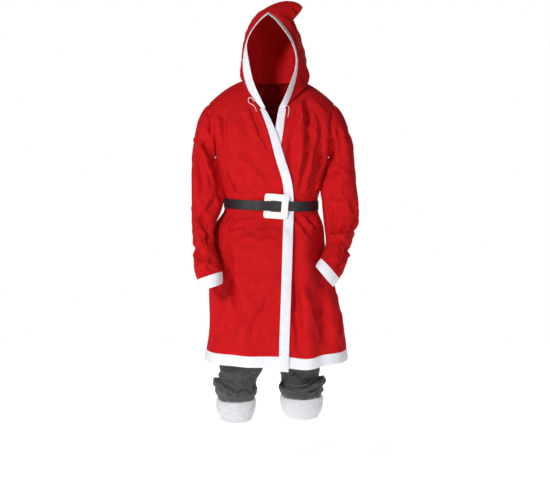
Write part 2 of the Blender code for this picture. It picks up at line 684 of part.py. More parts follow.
def hood_band_rows(side, edges, rim):
    """Rows of a face band: its free edge, middle and seam."""
    level = (NECK_LEVEL,)
    rows = [lifted(front_rows(side, edges, level, (0, 0.5, 1), "free_x", "seam_x")[0])]
    for at in range(1, APEX_ROW + 1):
        seam = place(rim, at, "x", "y", "z")
        turn_x, turn_z = place(rim, at, "turn_x", "turn_z")
        free = seam + np.array([turn_x, -math.sqrt(BAND**2 - turn_x**2 - turn_z**2), turn_z])
        rows.append([free, (free + seam) / 2, seam])
    return np.array(rows)


def rim_space(where):
    """One side's share of the space at the rim's seam, wider where it folds back at the neck."""
    return CREASED_SEAM * (1.2 + 1.6 * (1 - ease(where, 0, 4)))[:, None]


def make_hood():
    """Two halves of the hood and the bands round its face opening."""
    for side, edges, rim, name in (
        (-1, RIGHT_FRONT, RIGHT_RIM, "right"),
        (1, LEFT_FRONT, LEFT_RIM, "left"),
    ):
        rows = hood_half(side, edges, rim)
        peak = np.linspace(APEX_ROW, POINT_ROW - 0.1, PEAK_ROWS)
        where = np.concatenate([np.linspace(0, APEX_ROW, RIM_ROWS), peak[1:]])
        panel = through(np.arange(len(rows)), rows, where)
        panel = trim_edges(panel, 0, 0, rim_space(where), SEAM)
        cloth("hood_" + name, panel[:, ::side], "felt", FELT)
        rows = hood_band_rows(side, edges, rim)
        where = np.linspace(0, APEX_ROW, BAND_ROWS)
        band = through(np.arange(len(rows)), rows, where)
        band = trim_edges(band, 0, 1.5 * CREASED_SEAM, 0, rim_space(where))
        cloth("hood_band_" + name, band[:, ::side], "trim", TRIM)


# ---- Belt, buckle and neck tie

BUCKLE_BACK_Y = -0.1354   # back face of the buckle's plate
STRAP_SLOPE = -0.03       # the strap is a little lower towards +X
WINDOW_WIDTH = BUCKLE_WIDTH - 2 * BUCKLE_BAR
WINDOW_HEIGHT = 0.042
BUCKLE_Z = WAIST_Z - 0.0015
STRAP_FRONT = np.concatenate([np.linspace(0, 0.6, 9), np.linspace(0.6, 1, 13)[1:]])
STRAP_BACK = np.linspace(0, 1, 13)
TIE_THICKNESS = 0.003
TIE_RINGS = 15


def waist_ring(level, inward, places):
    """A ring round the waist from the right side, front first; places go from 0 to 1 on each quarter."""
    halves = []
    for face, shares in zip((-1, 1), places):
        turns = shares * math.pi / 2
        distance = inward(np.sin(turns), face)
        right = body(-1, face, turns[None, :], (level,), distance, folded=False)[0]
        left = body(1, face, turns[None, :], (level,), distance, folded=False)[0]
        half = np.concatenate([right[:-1], (right[-1:] + left[-1:]) / 2, left[-2::-1]])
        halves.append(half if face < 0 else half[-2::-1])
    return np.concatenate(halves)


def strap_line():
    """The strap's inner face round the waist at its middle height."""
    line = waist_ring(WAIST_Z, lambda forward, face: -3 * SEAT, (STRAP_FRONT, STRAP_BACK))
    left_bar = BUCKLE_X - BUCKLE_WIDTH / 2
    window_left = BUCKLE_X - WINDOW_WIDTH / 2
    over = ease(line[:, 0], left_bar - 0.055, left_bar - 0.004)
    over = over * (1 - ease(line[:, 0], window_left + 0.004, window_left + WINDOW_WIDTH - 0.005))
    front = line[:, 1] < 0
    over_y = BUCKLE_BACK_Y - BUCKLE_WALL - SEAT
    line[:, 1] = np.where(front, line[:, 1] + (over_y - line[:, 1]) * over, line[:, 1])
    return line


def make_belt():
    """The strap: over the buckle's right-hand bar, through its window and behind the other bar."""
    line = strap_line()
    inward = -np.gradient(line[:, :2], axis=0)[:, ::-1] * (1, -1)
    out = -inward / np.linalg.norm(inward, axis=1, keepdims=True)
    outer = line + np.concatenate([out, np.zeros((len(line), 1))], axis=1) * STRAP_WALL
    outer[-1] = outer[0]
    rows = []
    for rise in (-0.5, 0.5):
        drop = STRAP_SLOPE * (outer[:, 0] - MID_X)
        rows.append(stack(outer[:, 0], outer[:, 1], WAIST_Z + rise * STRAP_HEIGHT + drop))
    cloth("belt", np.array(rows), "vinyl", STRAP_WALL, closed=True)


def rounded_outline(width, height, radius, steps=4):
    """Corner points of a rectangle with round corners."""
    points = []
    for corner in range(4):
        sign_x, sign_y = ((1, 1), (-1, 1), (-1, -1), (1, -1))[corner]
        for step in range(steps + 1):
            turn = (corner + step / steps) * math.pi / 2
            x = sign_x * (width / 2 - radius) + radius * math.cos(turn)
            points.append((x, sign_y * (height / 2 - radius) + radius * math.sin(turn)))
    return points


def mesh_from(curve, name):
    """The mesh that a curve makes, with its caps joined on."""
    holder = bpy.data.objects.new(name + "_curve", curve)
    bpy.context.scene.collection.objects.link(holder)
    bpy.context.view_layer.update()
    evaluated = holder.evaluated_get(bpy.context.evaluated_depsgraph_get())
    mesh = bpy.data.meshes.new_from_object(evaluated)
    bpy.data.objects.remove(holder)
    shape = bmesh.new()
    shape.from_mesh(mesh)
    bmesh.ops.remove_doubles(shape, verts=shape.verts, dist=0.00002)
    shape.to_mesh(mesh)
    shape.free()
    mesh.name = name
    mesh.materials.clear()
    return mesh


def make_buckle():
    """A flat plate with round corners and a window."""
    curve = bpy.data.curves.new("buckle", "CURVE")
    curve.dimensions = "2D"
    curve.fill_mode = "BOTH"
    curve.extrude = BUCKLE_WALL / 2
    for width, height, radius in (
        (BUCKLE_WIDTH, BUCKLE_HEIGHT, 0.011),
        (WINDOW_WIDTH, WINDOW_HEIGHT, 0.003),
    ):
        outline = rounded_outline(width, height, radius)
        spline = curve.splines.new("POLY")
        spline.points.add(len(outline) - 1)
        spline.use_cyclic_u = True
        for point, (x, y) in zip(spline.points, outline):
            point.co = (x, y, 0, 1)
    buckle = add_object("buckle", mesh_from(curve, "buckle"), "plastic")
    buckle.location = (BUCKLE_X, BUCKLE_BACK_Y - BUCKLE_WALL / 2, BUCKLE_Z)
    buckle.rotation_euler = (math.pi / 2, -BUCKLE_TILT, 0)


# The free ends of the neck's drawstring, from the eyelet in each band's seam.
TIE_ROUTES = {
    "right": table(
        "at x y z",
        (0, -0.078, -0.1085, -0.062),
        (1, -0.089, -0.1065, -0.047),
        (2, -0.101, -0.104, -0.050),
        (3, -0.098, -0.106, -0.066),
        (4, -0.085, -0.1098, -0.073),
        (5, -0.075, -0.1150, -0.083),
        (6, -0.070, -0.1222, -0.100),
    ),
    "left": table(
        "at x y z",
        (0, 0.0475, -0.1115, -0.076),
        (1, 0.052, -0.1125, -0.082),
        (2, 0.0535, -0.1142, -0.092),
        (3, 0.051, -0.1190, -0.106),
        (4, 0.049, -0.1240, -0.118),
    ),
}


def make_ties():
    """The two free ends of the drawstring."""
    for name, route in TIE_ROUTES.items():
        curve = bpy.data.curves.new("tie_" + name, "CURVE")
        curve.dimensions = "3D"
        curve.bevel_depth = TIE_THICKNESS / 2
        curve.bevel_resolution = 2
        curve.use_fill_caps = True
        where = np.linspace(0, route["at"][-1], TIE_RINGS)
        line = stack(read(route, "x", where), read(route, "y", where), read(route, "z", where))
        spline = curve.splines.new("POLY")
        spline.points.add(len(line) - 1)
        for point, place_on_line in zip(spline.points, line):
            point.co = (*place_on_line, 1)
        add_object("tie_" + name, mesh_from(curve, "tie_" + name), "cord")


# ---- Trousers

# Each leg from the waistband down: the outer and inner side, the middle from front to back, and
# half its depth. Above the crotch a leg is an open half shell from centre front to centre back.
RIGHT_LEG = table(
    "down outer inner y depth",
    (0.520, -0.189, -0.017, 0.002, 0.119),
    (0.580, -0.191, -0.017, 0.006, 0.122),
    (0.680, -0.196, -0.018, 0.010, 0.125),
    (0.800, -0.206, -0.022, 0.008, 0.108),
    (0.950, -0.216, -0.028, 0.004, 0.096),
    (1.060, -0.222, -0.033, 0.002, 0.090),
    (1.104, -0.2245, -0.043, 0.000, 0.087),
    (1.136, -0.2225, -0.061, 0.000, 0.082),
    (1.158, -0.2480, -0.0755, -0.002, 0.091),
    (1.184, -0.2440, -0.0735, 0.000, 0.096),
    (1.206, -0.2350, -0.071, 0.000, 0.092),
    (1.224, -0.2290, -0.0800, 0.000, 0.0770),
    (1.232, -0.2272, -0.0838, 0.000, 0.0737),
    (1.242, -0.2272, -0.0838, 0.000, 0.0737),
)
LEFT_LEG = table(
    "down outer inner y depth",
    (0.520, 0.159, -0.009, 0.002, 0.119),
    (0.580, 0.160, -0.009, 0.006, 0.122),
    (0.680, 0.164, -0.008, 0.010, 0.125),
    (0.800, 0.172, -0.003, 0.008, 0.108),
    (0.950, 0.180, 0.004, 0.004, 0.096),
    (1.060, 0.182, 0.010, 0.002, 0.090),
    (1.100, 0.184, 0.013, 0.000, 0.088),
    (1.132, 0.1755, 0.022, 0.000, 0.082),
    (1.153, 0.2020, 0.026, -0.002, 0.091),
    (1.174, 0.2000, 0.0175, 0.000, 0.097),
    (1.194, 0.1925, 0.0155, 0.000, 0.094),
    (1.212, 0.1855, 0.0240, 0.000, 0.0795),
    (1.220, 0.1833, 0.0273, 0.000, 0.0760),
    (1.230, 0.1833, 0.0273, 0.000, 0.0760),
)
RIGHT_CUFF = table(
    "down outer inner y depth",
    (1.234, -0.2306, -0.0804, 0.000, 0.0771),
    (1.262, -0.2304, -0.0806, 0.000, 0.0771),
    (1.292, -0.2255, -0.0885, 0.000, 0.0730),
    (1.318, -0.2100, -0.1020, 0.000, 0.0600),
)
LEFT_CUFF = table(
    "down outer inner y depth",
    (1.222, 0.1867, 0.0239, 0.000, 0.0794),
    (1.250, 0.1865, 0.0241, 0.000, 0.0794),
    (1.280, 0.1800, 0.0325, 0.000, 0.0745),
    (1.305, 0.1620, 0.0520, 0.000, 0.0610),
)
RISE_TOP = 0.62           # the seat's centre seams curve under from here down to the crotch
CROTCH = 0.80
BUNCH_TOP = 1.06          # below this the cloth is bunched on the cuffs
LEG_ROWS = 8              # above the bunched cloth
LEG_COLUMNS = 17
PLUSH_ROWS = 4
PUFF = 0.0035             # height of the puffs of cloth bunched on the cuffs
WAISTBAND_COLUMNS = 9     # on each quarter


def leg_rows(side, leg, downs, columns, open_sheet):
    """Rings of a leg from its inseam over the back, outer side and front to the inseam again."""
    turn = np.linspace(math.pi, -math.pi, columns)[None, :]
    down = np.asarray(downs, float)[:, None]
    outer, inner, middle_y, depth = (read(leg, name, down) for name in "outer inner y depth".split())
    middle, half = (outer + inner) / 2, (outer - inner) / 2
    x = middle + half * np.cos(turn)
    y = middle_y + depth * np.sin(turn)
    if open_sheet:
        seam = inner
        shell_x = seam + (outer - seam) * np.cos(turn / 2)
        shell_y = middle_y + depth * np.sin(turn / 2)
        high = 1 - ease(down, RISE_TOP, CROTCH)
        x, y = x + (shell_x - x) * high, y + (shell_y - y) * high
        bottom = leg["down"][-1]
        bunch = ease(down, 1.07, 1.13) * (1 - ease(down, bottom - 0.045, bottom - 0.02))
        lift = PUFF * bunch * np.cos(down * 2 * math.pi / 0.052 + 2 * turn * side) * np.cos(turn / 2)
        x, y = x + side * np.cos(turn) * lift, y + np.sin(turn) * lift
    return stack(x, y, -down)


def leg_top(side, columns):
    """The rows by which a leg hangs inside the waistband, from centre back to centre front."""
    turns = np.linspace(math.pi / 2, 0, columns // 2 + 1)
    rows = []
    for level in (WAIST_Z - 0.010, WAIST_Z - 0.024):
        quarters = []
        for face in (1, -1):
            inward = (band_inset(np.sin(turns), face) + TWILL + 1.5 * SEAT)[None, :]
            quarters.append(body(side, face, turns[None, :], (level,), inward, folded=False)[0])
        rows.append(np.concatenate([quarters[0], quarters[1][-2::-1]]))
    return np.array(rows)


def make_trousers():
    """Two legs, the waistband they hang from and two plush cuffs."""
    for side, leg, cuff, name in ((-1, RIGHT_LEG, RIGHT_CUFF, "right"), (1, LEFT_LEG, LEFT_CUFF, "left")):
        marks = leg["down"]
        low = marks[marks > BUNCH_TOP]
        between = (low[1:-2] + low[:-3]) / 2
        high = np.linspace(marks[0], BUNCH_TOP, LEG_ROWS)
        downs = np.concatenate([high, np.sort(np.append(low, between))])
        sheet = np.concatenate([leg_top(side, LEG_COLUMNS), leg_rows(side, leg, downs, LEG_COLUMNS, True)])
        sheet = trim_edges(sheet, 0, 0, SEAM / 2, SEAM / 2)
        cloth("trouser_leg_" + name, sheet[:, ::side], "twill", TWILL)
        downs = np.linspace(cuff["down"][0], cuff["down"][-1], PLUSH_ROWS)
        tube = leg_rows(side, cuff, downs, LEG_COLUMNS, False)
        cloth("trouser_cuff_" + name, tube[:, ::side], "plush", PLUSH, closed=True)
    make_waistband()


def band_inset(forward, face):
    """How far the waistband lies inside the coat's outer face: inside both fronts, or the back."""
    lapped = ease(forward, 0.1, 0.6) * (face < 0)
    return FELT + 3 * SEAT + (LAP + TRIM - FELT) * lapped


def make_waistband():
    """The trousers' waistband, held against the coat under the belt."""
    places = np.linspace(0, 1, WAISTBAND_COLUMNS)
    rings = [waist_ring(WAIST_Z + rise, band_inset, (places, places)) for rise in (-0.022, 0, 0.014)]
    cloth("waistband", np.array(rings), "twill", TWILL, closed=True)


def clear_scene():
    """Remove what the scene holds and start the suit's collection."""
    for old in list(bpy.data.objects):
        bpy.data.objects.remove(old)
    bpy.context.scene.collection.children.link(bpy.data.collections.new("santa_suit"))


clear_scene()
make_fronts()
make_back()
make_sleeves()
make_hood()
make_belt()
make_buckle()
make_ties()
make_trousers()
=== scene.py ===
"""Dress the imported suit: creased felt, fleece bands, vinyl belt, grey trousers and plush cuffs.

Metres, +Z up, the front faces -Y. Right and left are the wearer's: right is -X.
"""

import math

import bpy
import numpy as np
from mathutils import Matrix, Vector, kdtree, noise
from mathutils.bvhtree import BVHTree


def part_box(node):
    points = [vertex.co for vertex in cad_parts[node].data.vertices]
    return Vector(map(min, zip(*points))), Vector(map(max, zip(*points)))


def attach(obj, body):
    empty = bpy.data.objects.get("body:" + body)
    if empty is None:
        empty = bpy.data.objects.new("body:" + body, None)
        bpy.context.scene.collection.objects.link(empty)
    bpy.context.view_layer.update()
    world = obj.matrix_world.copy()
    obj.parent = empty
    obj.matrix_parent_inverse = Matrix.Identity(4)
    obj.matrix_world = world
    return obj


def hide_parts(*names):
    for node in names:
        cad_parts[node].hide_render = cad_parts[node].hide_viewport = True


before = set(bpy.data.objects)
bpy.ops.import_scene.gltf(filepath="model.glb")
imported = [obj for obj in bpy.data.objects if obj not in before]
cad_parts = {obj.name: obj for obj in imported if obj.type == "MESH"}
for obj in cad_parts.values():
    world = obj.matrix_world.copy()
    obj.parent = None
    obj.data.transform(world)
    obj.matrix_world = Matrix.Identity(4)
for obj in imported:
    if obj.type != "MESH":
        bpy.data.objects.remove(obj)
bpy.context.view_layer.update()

bl_info = {
    "name": "Santa suit",
    "version": (1, 0, 0),
    "blender": (4, 5, 0),
    "location": "View3D > Sidebar > Suit",
    "description": "Makes the cloth, belt and plush of a hooded costume on its packed solids",
    "category": "Object",
}

FELT_WALL = 0.0016        # walls of the solids
TRIM_WALL = 0.0024
PLUSH_WALL = 0.003
TWILL_WALL = 0.0016
SEAM_HALF = 0.00035       # half the space that the solids leave at a seam
SHAPED_SEAM = 0.0008      # the same at the armholes and the neck, which bend more
HOOD_SEAM = 0.0013        # the same round the hood
NECK_TUCK = 0.004         # how far the hood laps over the coat at the neck
LAP_ROOM = 0.0028         # room that a crease may take where one front laps over the other
COAT_MIDDLE = Vector((-0.013, 0.03, -0.55))    # points in the hollows
HOOD_MIDDLE = Vector((0, 0, 0.1))
BELT_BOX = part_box("belt")
BELT_Z = (BELT_BOX[0][2] + BELT_BOX[1][2]) / 2
BELT_HALF = 0.03          # the coat stays flat this far above and below the belt's middle
BELT_FADE = 0.025         # its creases come back over this height
SEAM_CALM = 0.012         # creases fade out over this width beside a seam
SLEEVE_CALM = 0.005       # the same on the sleeves
DRAPE = 0.0009            # how far the cloth wavers between its creases
PLUSH_BACKING = 0.002
PILE_DENSITY = 130000.0   # locks of plush on a square metre
LIGHTS_AIM = (0, 0, -0.6)
FLOOR_Z = -1.57           # sole of the wearer's boots
FLOOR_SIZE = 6.0
FLOOR_GLOW = 0.70         # the floor is a lit panel
SKY_STRENGTH = 0.12       # light that the white room gives
ROOM_WHITE = 1.0          # how bright the room itself looks

# Where the camera stands: at chest height before the suit, looking slightly down
CAMERA_PLACE = (0.0, -4.6, -0.17)
CAMERA_TARGET = (0.0, 0.0, -0.63)
CAMERA_LENS = 77.0


def linear(hex_colour):
    """Linear red, green and blue from an sRGB hex colour."""
    parts = [int(hex_colour[at:at + 2], 16) / 255 for at in (1, 3, 5)]
    return [part / 12.92 if part <= 0.04045 else ((part + 0.055) / 1.055) ** 2.4 for part in parts]


# ---- What a user may change

def length_setting(name, description, default):
    """A length in metres."""
    return bpy.props.FloatProperty(name=name, description=description, default=default, unit="LENGTH")


def colour_setting(name, description, default):
    """A colour, given as hex."""
    return bpy.props.FloatVectorProperty(
        name=name, description=description, default=linear(default), subtype="COLOR")


class SuitSizes(bpy.types.PropertyGroup):
    """Thicknesses and the strength of the creases."""

    felt: length_setting("Felt", "Thickness of the red felt", 0.0012)
    band: length_setting("Band", "Thickness of the white bands", 0.0020)
    twill: length_setting("Trouser cloth", "Thickness of the trouser cloth", 0.0012)
    crown: length_setting("Band crown", "How far a band swells between its edges", 0.0012)
    pile: length_setting("Plush pile", "Length of the plush on the trouser cuffs", 0.009)
    crease: bpy.props.FloatProperty(
        name="Creases", description="How deep the creases are, as a share", default=1.7)


class SuitColours(bpy.types.PropertyGroup):
    """Colours of the cloth and the belt."""

    felt: colour_setting("Felt", "Bright red of the brushed felt", "#C61419")
    trim: colour_setting("Bands", "Cool white of the fleece bands", "#F2F2FA")
    vinyl: colour_setting("Belt", "Soft black of the vinyl belt", "#202023")
    plastic: colour_setting("Buckle", "White of the moulded buckle", "#FAFAF7")
    twill: colour_setting("Trousers", "Dark grey of the trouser cloth", "#4D4D4F")
    plush: colour_setting("Plush", "White of the cuff plush", "#FAFAFD")
    cord: colour_setting("Ties", "Pinkish white of the neck ties", "#EBD2D2")


# ---- Finishes

def add_node(tree, kind, links=(), **settings):
    """Add a node; links are (socket, output) pairs, and settings are its own or its sockets'."""
    node = tree.nodes.new(kind)
    for name, value in settings.items():
        if hasattr(node, name):
            setattr(node, name, value)
        else:
            node.inputs[name.replace("_", " ").title()].default_value = value
    for socket, output in links:
        tree.links.new(output, node.inputs[socket])
    return node


def start_finish(name, colour, roughness, **sockets):
    """A Principled material of one colour; returns it, its tree, its shader and Object coordinates."""
    found = bpy.data.materials.new(name)
    found.use_nodes = True
    found.diffuse_color = (*colour, 1)
    tree = found.node_tree
    shader = tree.nodes["Principled BSDF"]
    shader.inputs["Base Color"].default_value = (*colour, 1)
    shader.inputs["Roughness"].default_value = roughness
    for socket, value in sockets.items():
        shader.inputs[socket.replace("_", " ")].default_value = value
    place = add_node(tree, "ShaderNodeTexCoord").outputs["Object"]
    return found, tree, shader, place


def mottle(tree, shader, place, colour, size, amount):
    """Vary the colour softly over patches of that size: darker and lighter by the amount."""
    spots = add_node(tree, "ShaderNodeTexNoise", [("Vector", place)], scale=1 / size, detail=3.0)
    dark = [part * (1 - amount) for part in colour]
    light = [min(1, part * (1 + amount)) for part in colour]
    ramp = add_node(tree, "ShaderNodeValToRGB", [("Fac", spots.outputs["Fac"])])
    ramp.color_ramp.elements[0].position = 0.35
    ramp.color_ramp.elements[0].color = (*dark, 1)
    ramp.color_ramp.elements[1].position = 0.65
    ramp.color_ramp.elements[1].color = (*light, 1)
    tree.links.new(ramp.outputs["Color"], shader.inputs["Base Color"])


def relief(tree, shader, layers):
    """Bumps from (height output, depth in metres) layers, one on the other."""
    below = None
    for height, depth in layers:
        bump = add_node(tree, "ShaderNodeBump", [("Height", height)], strength=1.0, distance=depth)
        if below:
            tree.links.new(below.outputs["Normal"], bump.inputs["Normal"])
        below = bump
    tree.links.new(below.outputs["Normal"], shader.inputs["Normal"])


def felt_finish(colour):
    """Needled polyester felt, brushed: matte, with short fibres that catch light at the edges."""
    made, tree, shader, place = start_finish(
        "brushed polyester felt", colour, 0.85,
        Sheen_Weight=0.035, Sheen_Roughness=0.4, Sheen_Tint=(1, 0.30, 0.26, 1), Specular_IOR_Level=0.12)
    mottle(tree, shader, place, colour, 0.02, 0.05)
    # Fibres are 0.02 mm across; they are drawn as matted tufts of 1.2 mm, which show
    fibres = add_node(tree, "ShaderNodeTexNoise", [("Vector", place)], scale=1 / 0.0012, detail=4.0,
                      roughness=0.7)
    nap = add_node(tree, "ShaderNodeTexNoise", [("Vector", place)], scale=1 / 0.007, detail=2.0)
    relief(tree, shader, [(nap.outputs["Fac"], 0.0005), (fibres.outputs["Fac"], 0.00035)])
    return made


def fleece_finish(colour):
    """Knitted polyester fleece: dense, short curled pile, cool white and quite matte."""
    made, tree, shader, place = start_finish(
        "white polyester fleece", colour, 0.9,
        Sheen_Weight=0.12, Sheen_Roughness=0.6, Specular_IOR_Level=0.15)
    mottle(tree, shader, place, colour, 0.02, 0.025)
    # Curls of the pile, about 1.6 mm apart
    curls = add_node(tree, "ShaderNodeTexVoronoi", [("Vector", place)], scale=1 / 0.0016,
                     feature="SMOOTH_F1")
    lumps = add_node(tree, "ShaderNodeTexNoise", [("Vector", place)], scale=1 / 0.009, detail=3.0)
    relief(tree, shader, [(lumps.outputs["Fac"], 0.0008), (curls.outputs["Distance"], 0.0004)])
    return made


def vinyl_finish(colour):
    """Vinyl on a knitted back: calendered smooth, with a fine pressed grain and a soft sheen."""
    made, tree, shader, place = start_finish("black calendered vinyl", colour, 0.42, IOR=1.52)
    grain = add_node(tree, "ShaderNodeTexVoronoi", [("Vector", place)], scale=1 / 0.0011)
    waves = add_node(tree, "ShaderNodeTexNoise", [("Vector", place)], scale=1 / 0.02, detail=2.0)
    relief(tree, shader, [(waves.outputs["Fac"], 0.0006), (grain.outputs["Distance"], 0.00012)])
    return made


def plastic_finish(colour):
    """Moulded polystyrene, white: smooth and a little glossy, with the slight waves of moulding."""
    made, tree, shader, place = start_finish("white moulded polystyrene", colour, 0.28, IOR=1.59)
    waves = add_node(tree, "ShaderNodeTexNoise", [("Vector", place)], scale=1 / 0.018, detail=1.0)
    relief(tree, shader, [(waves.outputs["Fac"], 0.0002)])
    return made


def twill_finish(colour):
    """Polyester twill: fine diagonal ribs, matte grey."""
    made, tree, shader, place = start_finish(
        "grey polyester twill", colour, 0.85, Sheen_Weight=0.12, Sheen_Roughness=0.5,
        Specular_IOR_Level=0.25)
    mottle(tree, shader, place, colour, 0.03, 0.08)
    # Ribs of the twill are 0.6 mm apart; they are drawn at 1.4 mm so that they show
    turned = add_node(tree, "ShaderNodeMapping", [("Vector", place)])
    turned.inputs["Rotation"].default_value = (0, math.radians(32), 0)
    ribs = add_node(tree, "ShaderNodeTexWave", [("Vector", turned.outputs["Vector"])],
                    scale=1 / (0.0014 * 6.283), distortion=1.5, detail=2.0)
    slubs = add_node(tree, "ShaderNodeTexNoise", [("Vector", place)], scale=1 / 0.0015, detail=3.0)
    relief(tree, shader, [(slubs.outputs["Fac"], 0.0003), (ribs.outputs["Fac"], 0.00025)])
    return made


def plush_finish(colour):
    """Long-pile plush: soft acrylic fibres that let some light through."""
    made, tree, shader, place = start_finish(
        "white acrylic plush", colour, 0.75,
        Sheen_Weight=0.3, Sheen_Roughness=0.5, Subsurface_Weight=0.12, Specular_IOR_Level=0.3)
    shader.inputs["Subsurface Radius"].default_value = (0.004, 0.004, 0.004)
    shader.inputs["Subsurface Scale"].default_value = 1.0
    mottle(tree, shader, place, colour, 0.012, 0.03)
    return made


def cord_finish(colour):
    """Twisted polyester cord, two plies."""
    made, tree, shader, place = start_finish("twisted polyester cord", colour, 0.8, Sheen_Weight=0.2)
    twist = add_node(tree, "ShaderNodeTexWave", [("Vector", place)], scale=1 / (0.0022 * 6.283),
                     bands_direction="DIAGONAL", distortion=0.5)
    relief(tree, shader, [(twist.outputs["Fac"], 0.0004)])
    return made


FINISHES = {
    "felt": felt_finish, "trim": fleece_finish, "vinyl": vinyl_finish, "plastic": plastic_finish,
    "twill": twill_finish, "plush": plush_finish, "cord": cord_finish,
}


def finish(name):
    """The named finish, made once."""
    label = "suit " + name
    if label not in finish.made:
        finish.made[label] = FINISHES[name](list(getattr(bpy.context.scene.suit_colours, name)))
    return finish.made[label]


finish.made = {}


def dress(piece, name):
    """Give a piece its one finish and its body."""
    piece.data.materials.clear()
    piece.data.materials.append(finish(name))
    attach(piece, "root")


# ---- Working on meshes

def choose(piece):
    """Make a piece the only one selected, in object mode."""
    if bpy.context.object and bpy.context.object.mode != "OBJECT":
        bpy.ops.object.mode_set(mode="OBJECT")
    bpy.ops.object.select_all(action="DESELECT")
    piece.select_set(True)
    bpy.context.view_layer.objects.active = piece


def copy_of(node, name):
    """A copy of a solid with its loose triangles merged."""
    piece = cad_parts[node].copy()
    piece.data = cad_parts[node].data.copy()
    piece.name = name
    piece.parent = None
    bpy.context.scene.collection.objects.link(piece)
    piece.hide_render = False
    choose(piece)
    bpy.ops.object.mode_set(mode="EDIT")
    bpy.ops.mesh.select_all(action="SELECT")
    bpy.ops.mesh.remove_doubles(threshold=0.00002)
    bpy.ops.mesh.select_all(action="DESELECT")
    bpy.ops.object.mode_set(mode="OBJECT")
    return piece


def coordinates(mesh):
    """The vertices' places as an array."""
    flat = np.empty(len(mesh.vertices) * 3)
    mesh.vertices.foreach_get("co", flat)
    return flat.reshape(-1, 3)


def normals_of(mesh):
    """The vertices' normals as an array."""
    flat = np.empty(len(mesh.vertices) * 3)
    mesh.vertices.foreach_get("normal", flat)
    return flat.reshape(-1, 3)


def edge_table(mesh):
    """The two ends of each edge."""
    flat = np.empty(len(mesh.edges) * 2, int)
    mesh.edges.foreach_get("vertices", flat)
    return flat.reshape(-1, 2)


def loop_edge_table(mesh):
    """The edge of each face corner."""
    found = np.empty(len(mesh.loops), int)
    mesh.loops.foreach_get("edge_index", found)
    return found


def put(mesh, places):
    """Move the vertices to their places."""
    mesh.vertices.foreach_set("co", places.ravel())
    mesh.update()


def delete_faces(piece, chosen):
    """Delete the chosen faces, by number."""
    picked = np.zeros(len(piece.data.polygons), bool)
    picked[list(chosen)] = True
    choose(piece)
    bpy.ops.object.mode_set(mode="EDIT")
    bpy.ops.mesh.select_mode(type="FACE")
    bpy.ops.mesh.select_all(action="DESELECT")
    bpy.ops.object.mode_set(mode="OBJECT")
    piece.data.polygons.foreach_set("select", picked)
    bpy.ops.object.mode_set(mode="EDIT")
    bpy.ops.mesh.delete(type="FACE")
    bpy.ops.object.mode_set(mode="OBJECT")


def face_groups(mesh):
    """Lists of faces that hang together."""
    owner = list(range(len(mesh.vertices)))

    def root(at):
        while owner[at] != at:
            owner[at] = owner[owner[at]]
            at = owner[at]
        return at

    for face in mesh.polygons:
        first = root(face.vertices[0])
        for vertex in face.vertices[1:]:
            owner[root(vertex)] = first
    groups = {}
    for face in mesh.polygons:
        groups.setdefault(root(face.vertices[0]), []).append(face.index)
    return list(groups.values())


def outer_wall(node, name, wall, hollow=None):
    """The outer side of a walled solid, as one open sheet of quads.

    Faces at a rim have an edge as long as the wall is thick. Of the two sheets left, the outer one
    faces away from a point in the hollow.
    """
    piece = copy_of(node, name)
    mesh = piece.data
    places, ends = coordinates(mesh), edge_table(mesh)
    length = np.linalg.norm(places[ends[:, 0]] - places[ends[:, 1]], axis=1)
    rim_edge = np.abs(length - wall) < wall * 0.03
    loop_edges = loop_edge_table(mesh)
    rim_faces = [
        face.index for face in mesh.polygons
        if rim_edge[loop_edges[face.loop_start:face.loop_start + face.loop_total]].any()
    ]
    delete_faces(piece, rim_faces)
    low, high = (Vector(corner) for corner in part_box(node))
    centre = hollow or (low + high) / 2
    mesh = piece.data
    groups = face_groups(mesh)

    def outwards(group):
        faces = (mesh.polygons[at] for at in group)
        return sum(face.area * face.normal.dot(face.center - centre) for face in faces)

    outer = max(groups, key=outwards)
    delete_faces(piece, [at for group in groups if group is not outer for at in group])
    bpy.ops.object.mode_set(mode="EDIT")
    bpy.ops.mesh.select_all(action="SELECT")
    bpy.ops.mesh.tris_convert_to_quads(face_threshold=math.pi, shape_threshold=math.pi)
    bpy.ops.object.mode_set(mode="OBJECT")
    return piece


def apply_modifier(piece, kind, **settings):
    """Add a modifier and apply it."""
    choose(piece)
    added = piece.modifiers.new(kind, kind)
    for name, value in settings.items():
        setattr(added, name, value)
    bpy.ops.object.modifier_apply(modifier=added.name)


def refine(piece, levels):
    """Divide a sheet into smooth finer faces."""
    apply_modifier(piece, "SUBSURF", levels=levels, render_levels=levels,
                   boundary_smooth="PRESERVE_CORNERS")


def thicken(piece, thickness):
    """Give a sheet its thickness, on its inner side."""
    apply_modifier(piece, "SOLIDIFY", thickness=thickness, offset=-1)
    piece.data.shade_smooth()
    piece.data.set_sharp_from_angle(angle=math.radians(60))


def rim_distance(mesh):
    """Each vertex's distance from the sheet's edges, and which vertices lie on them."""
    count = np.zeros(len(mesh.edges), int)
    np.add.at(count, loop_edge_table(mesh), 1)
    ends = edge_table(mesh)
    on_rim = np.zeros(len(mesh.vertices), bool)
    on_rim[ends[count == 1].ravel()] = True
    places = coordinates(mesh)
    tree = kdtree.KDTree(int(on_rim.sum()))
    for number, place in enumerate(places[on_rim]):
        tree.insert(place, number)
    tree.balance()
    return np.array([tree.find(place)[2] for place in places]), on_rim


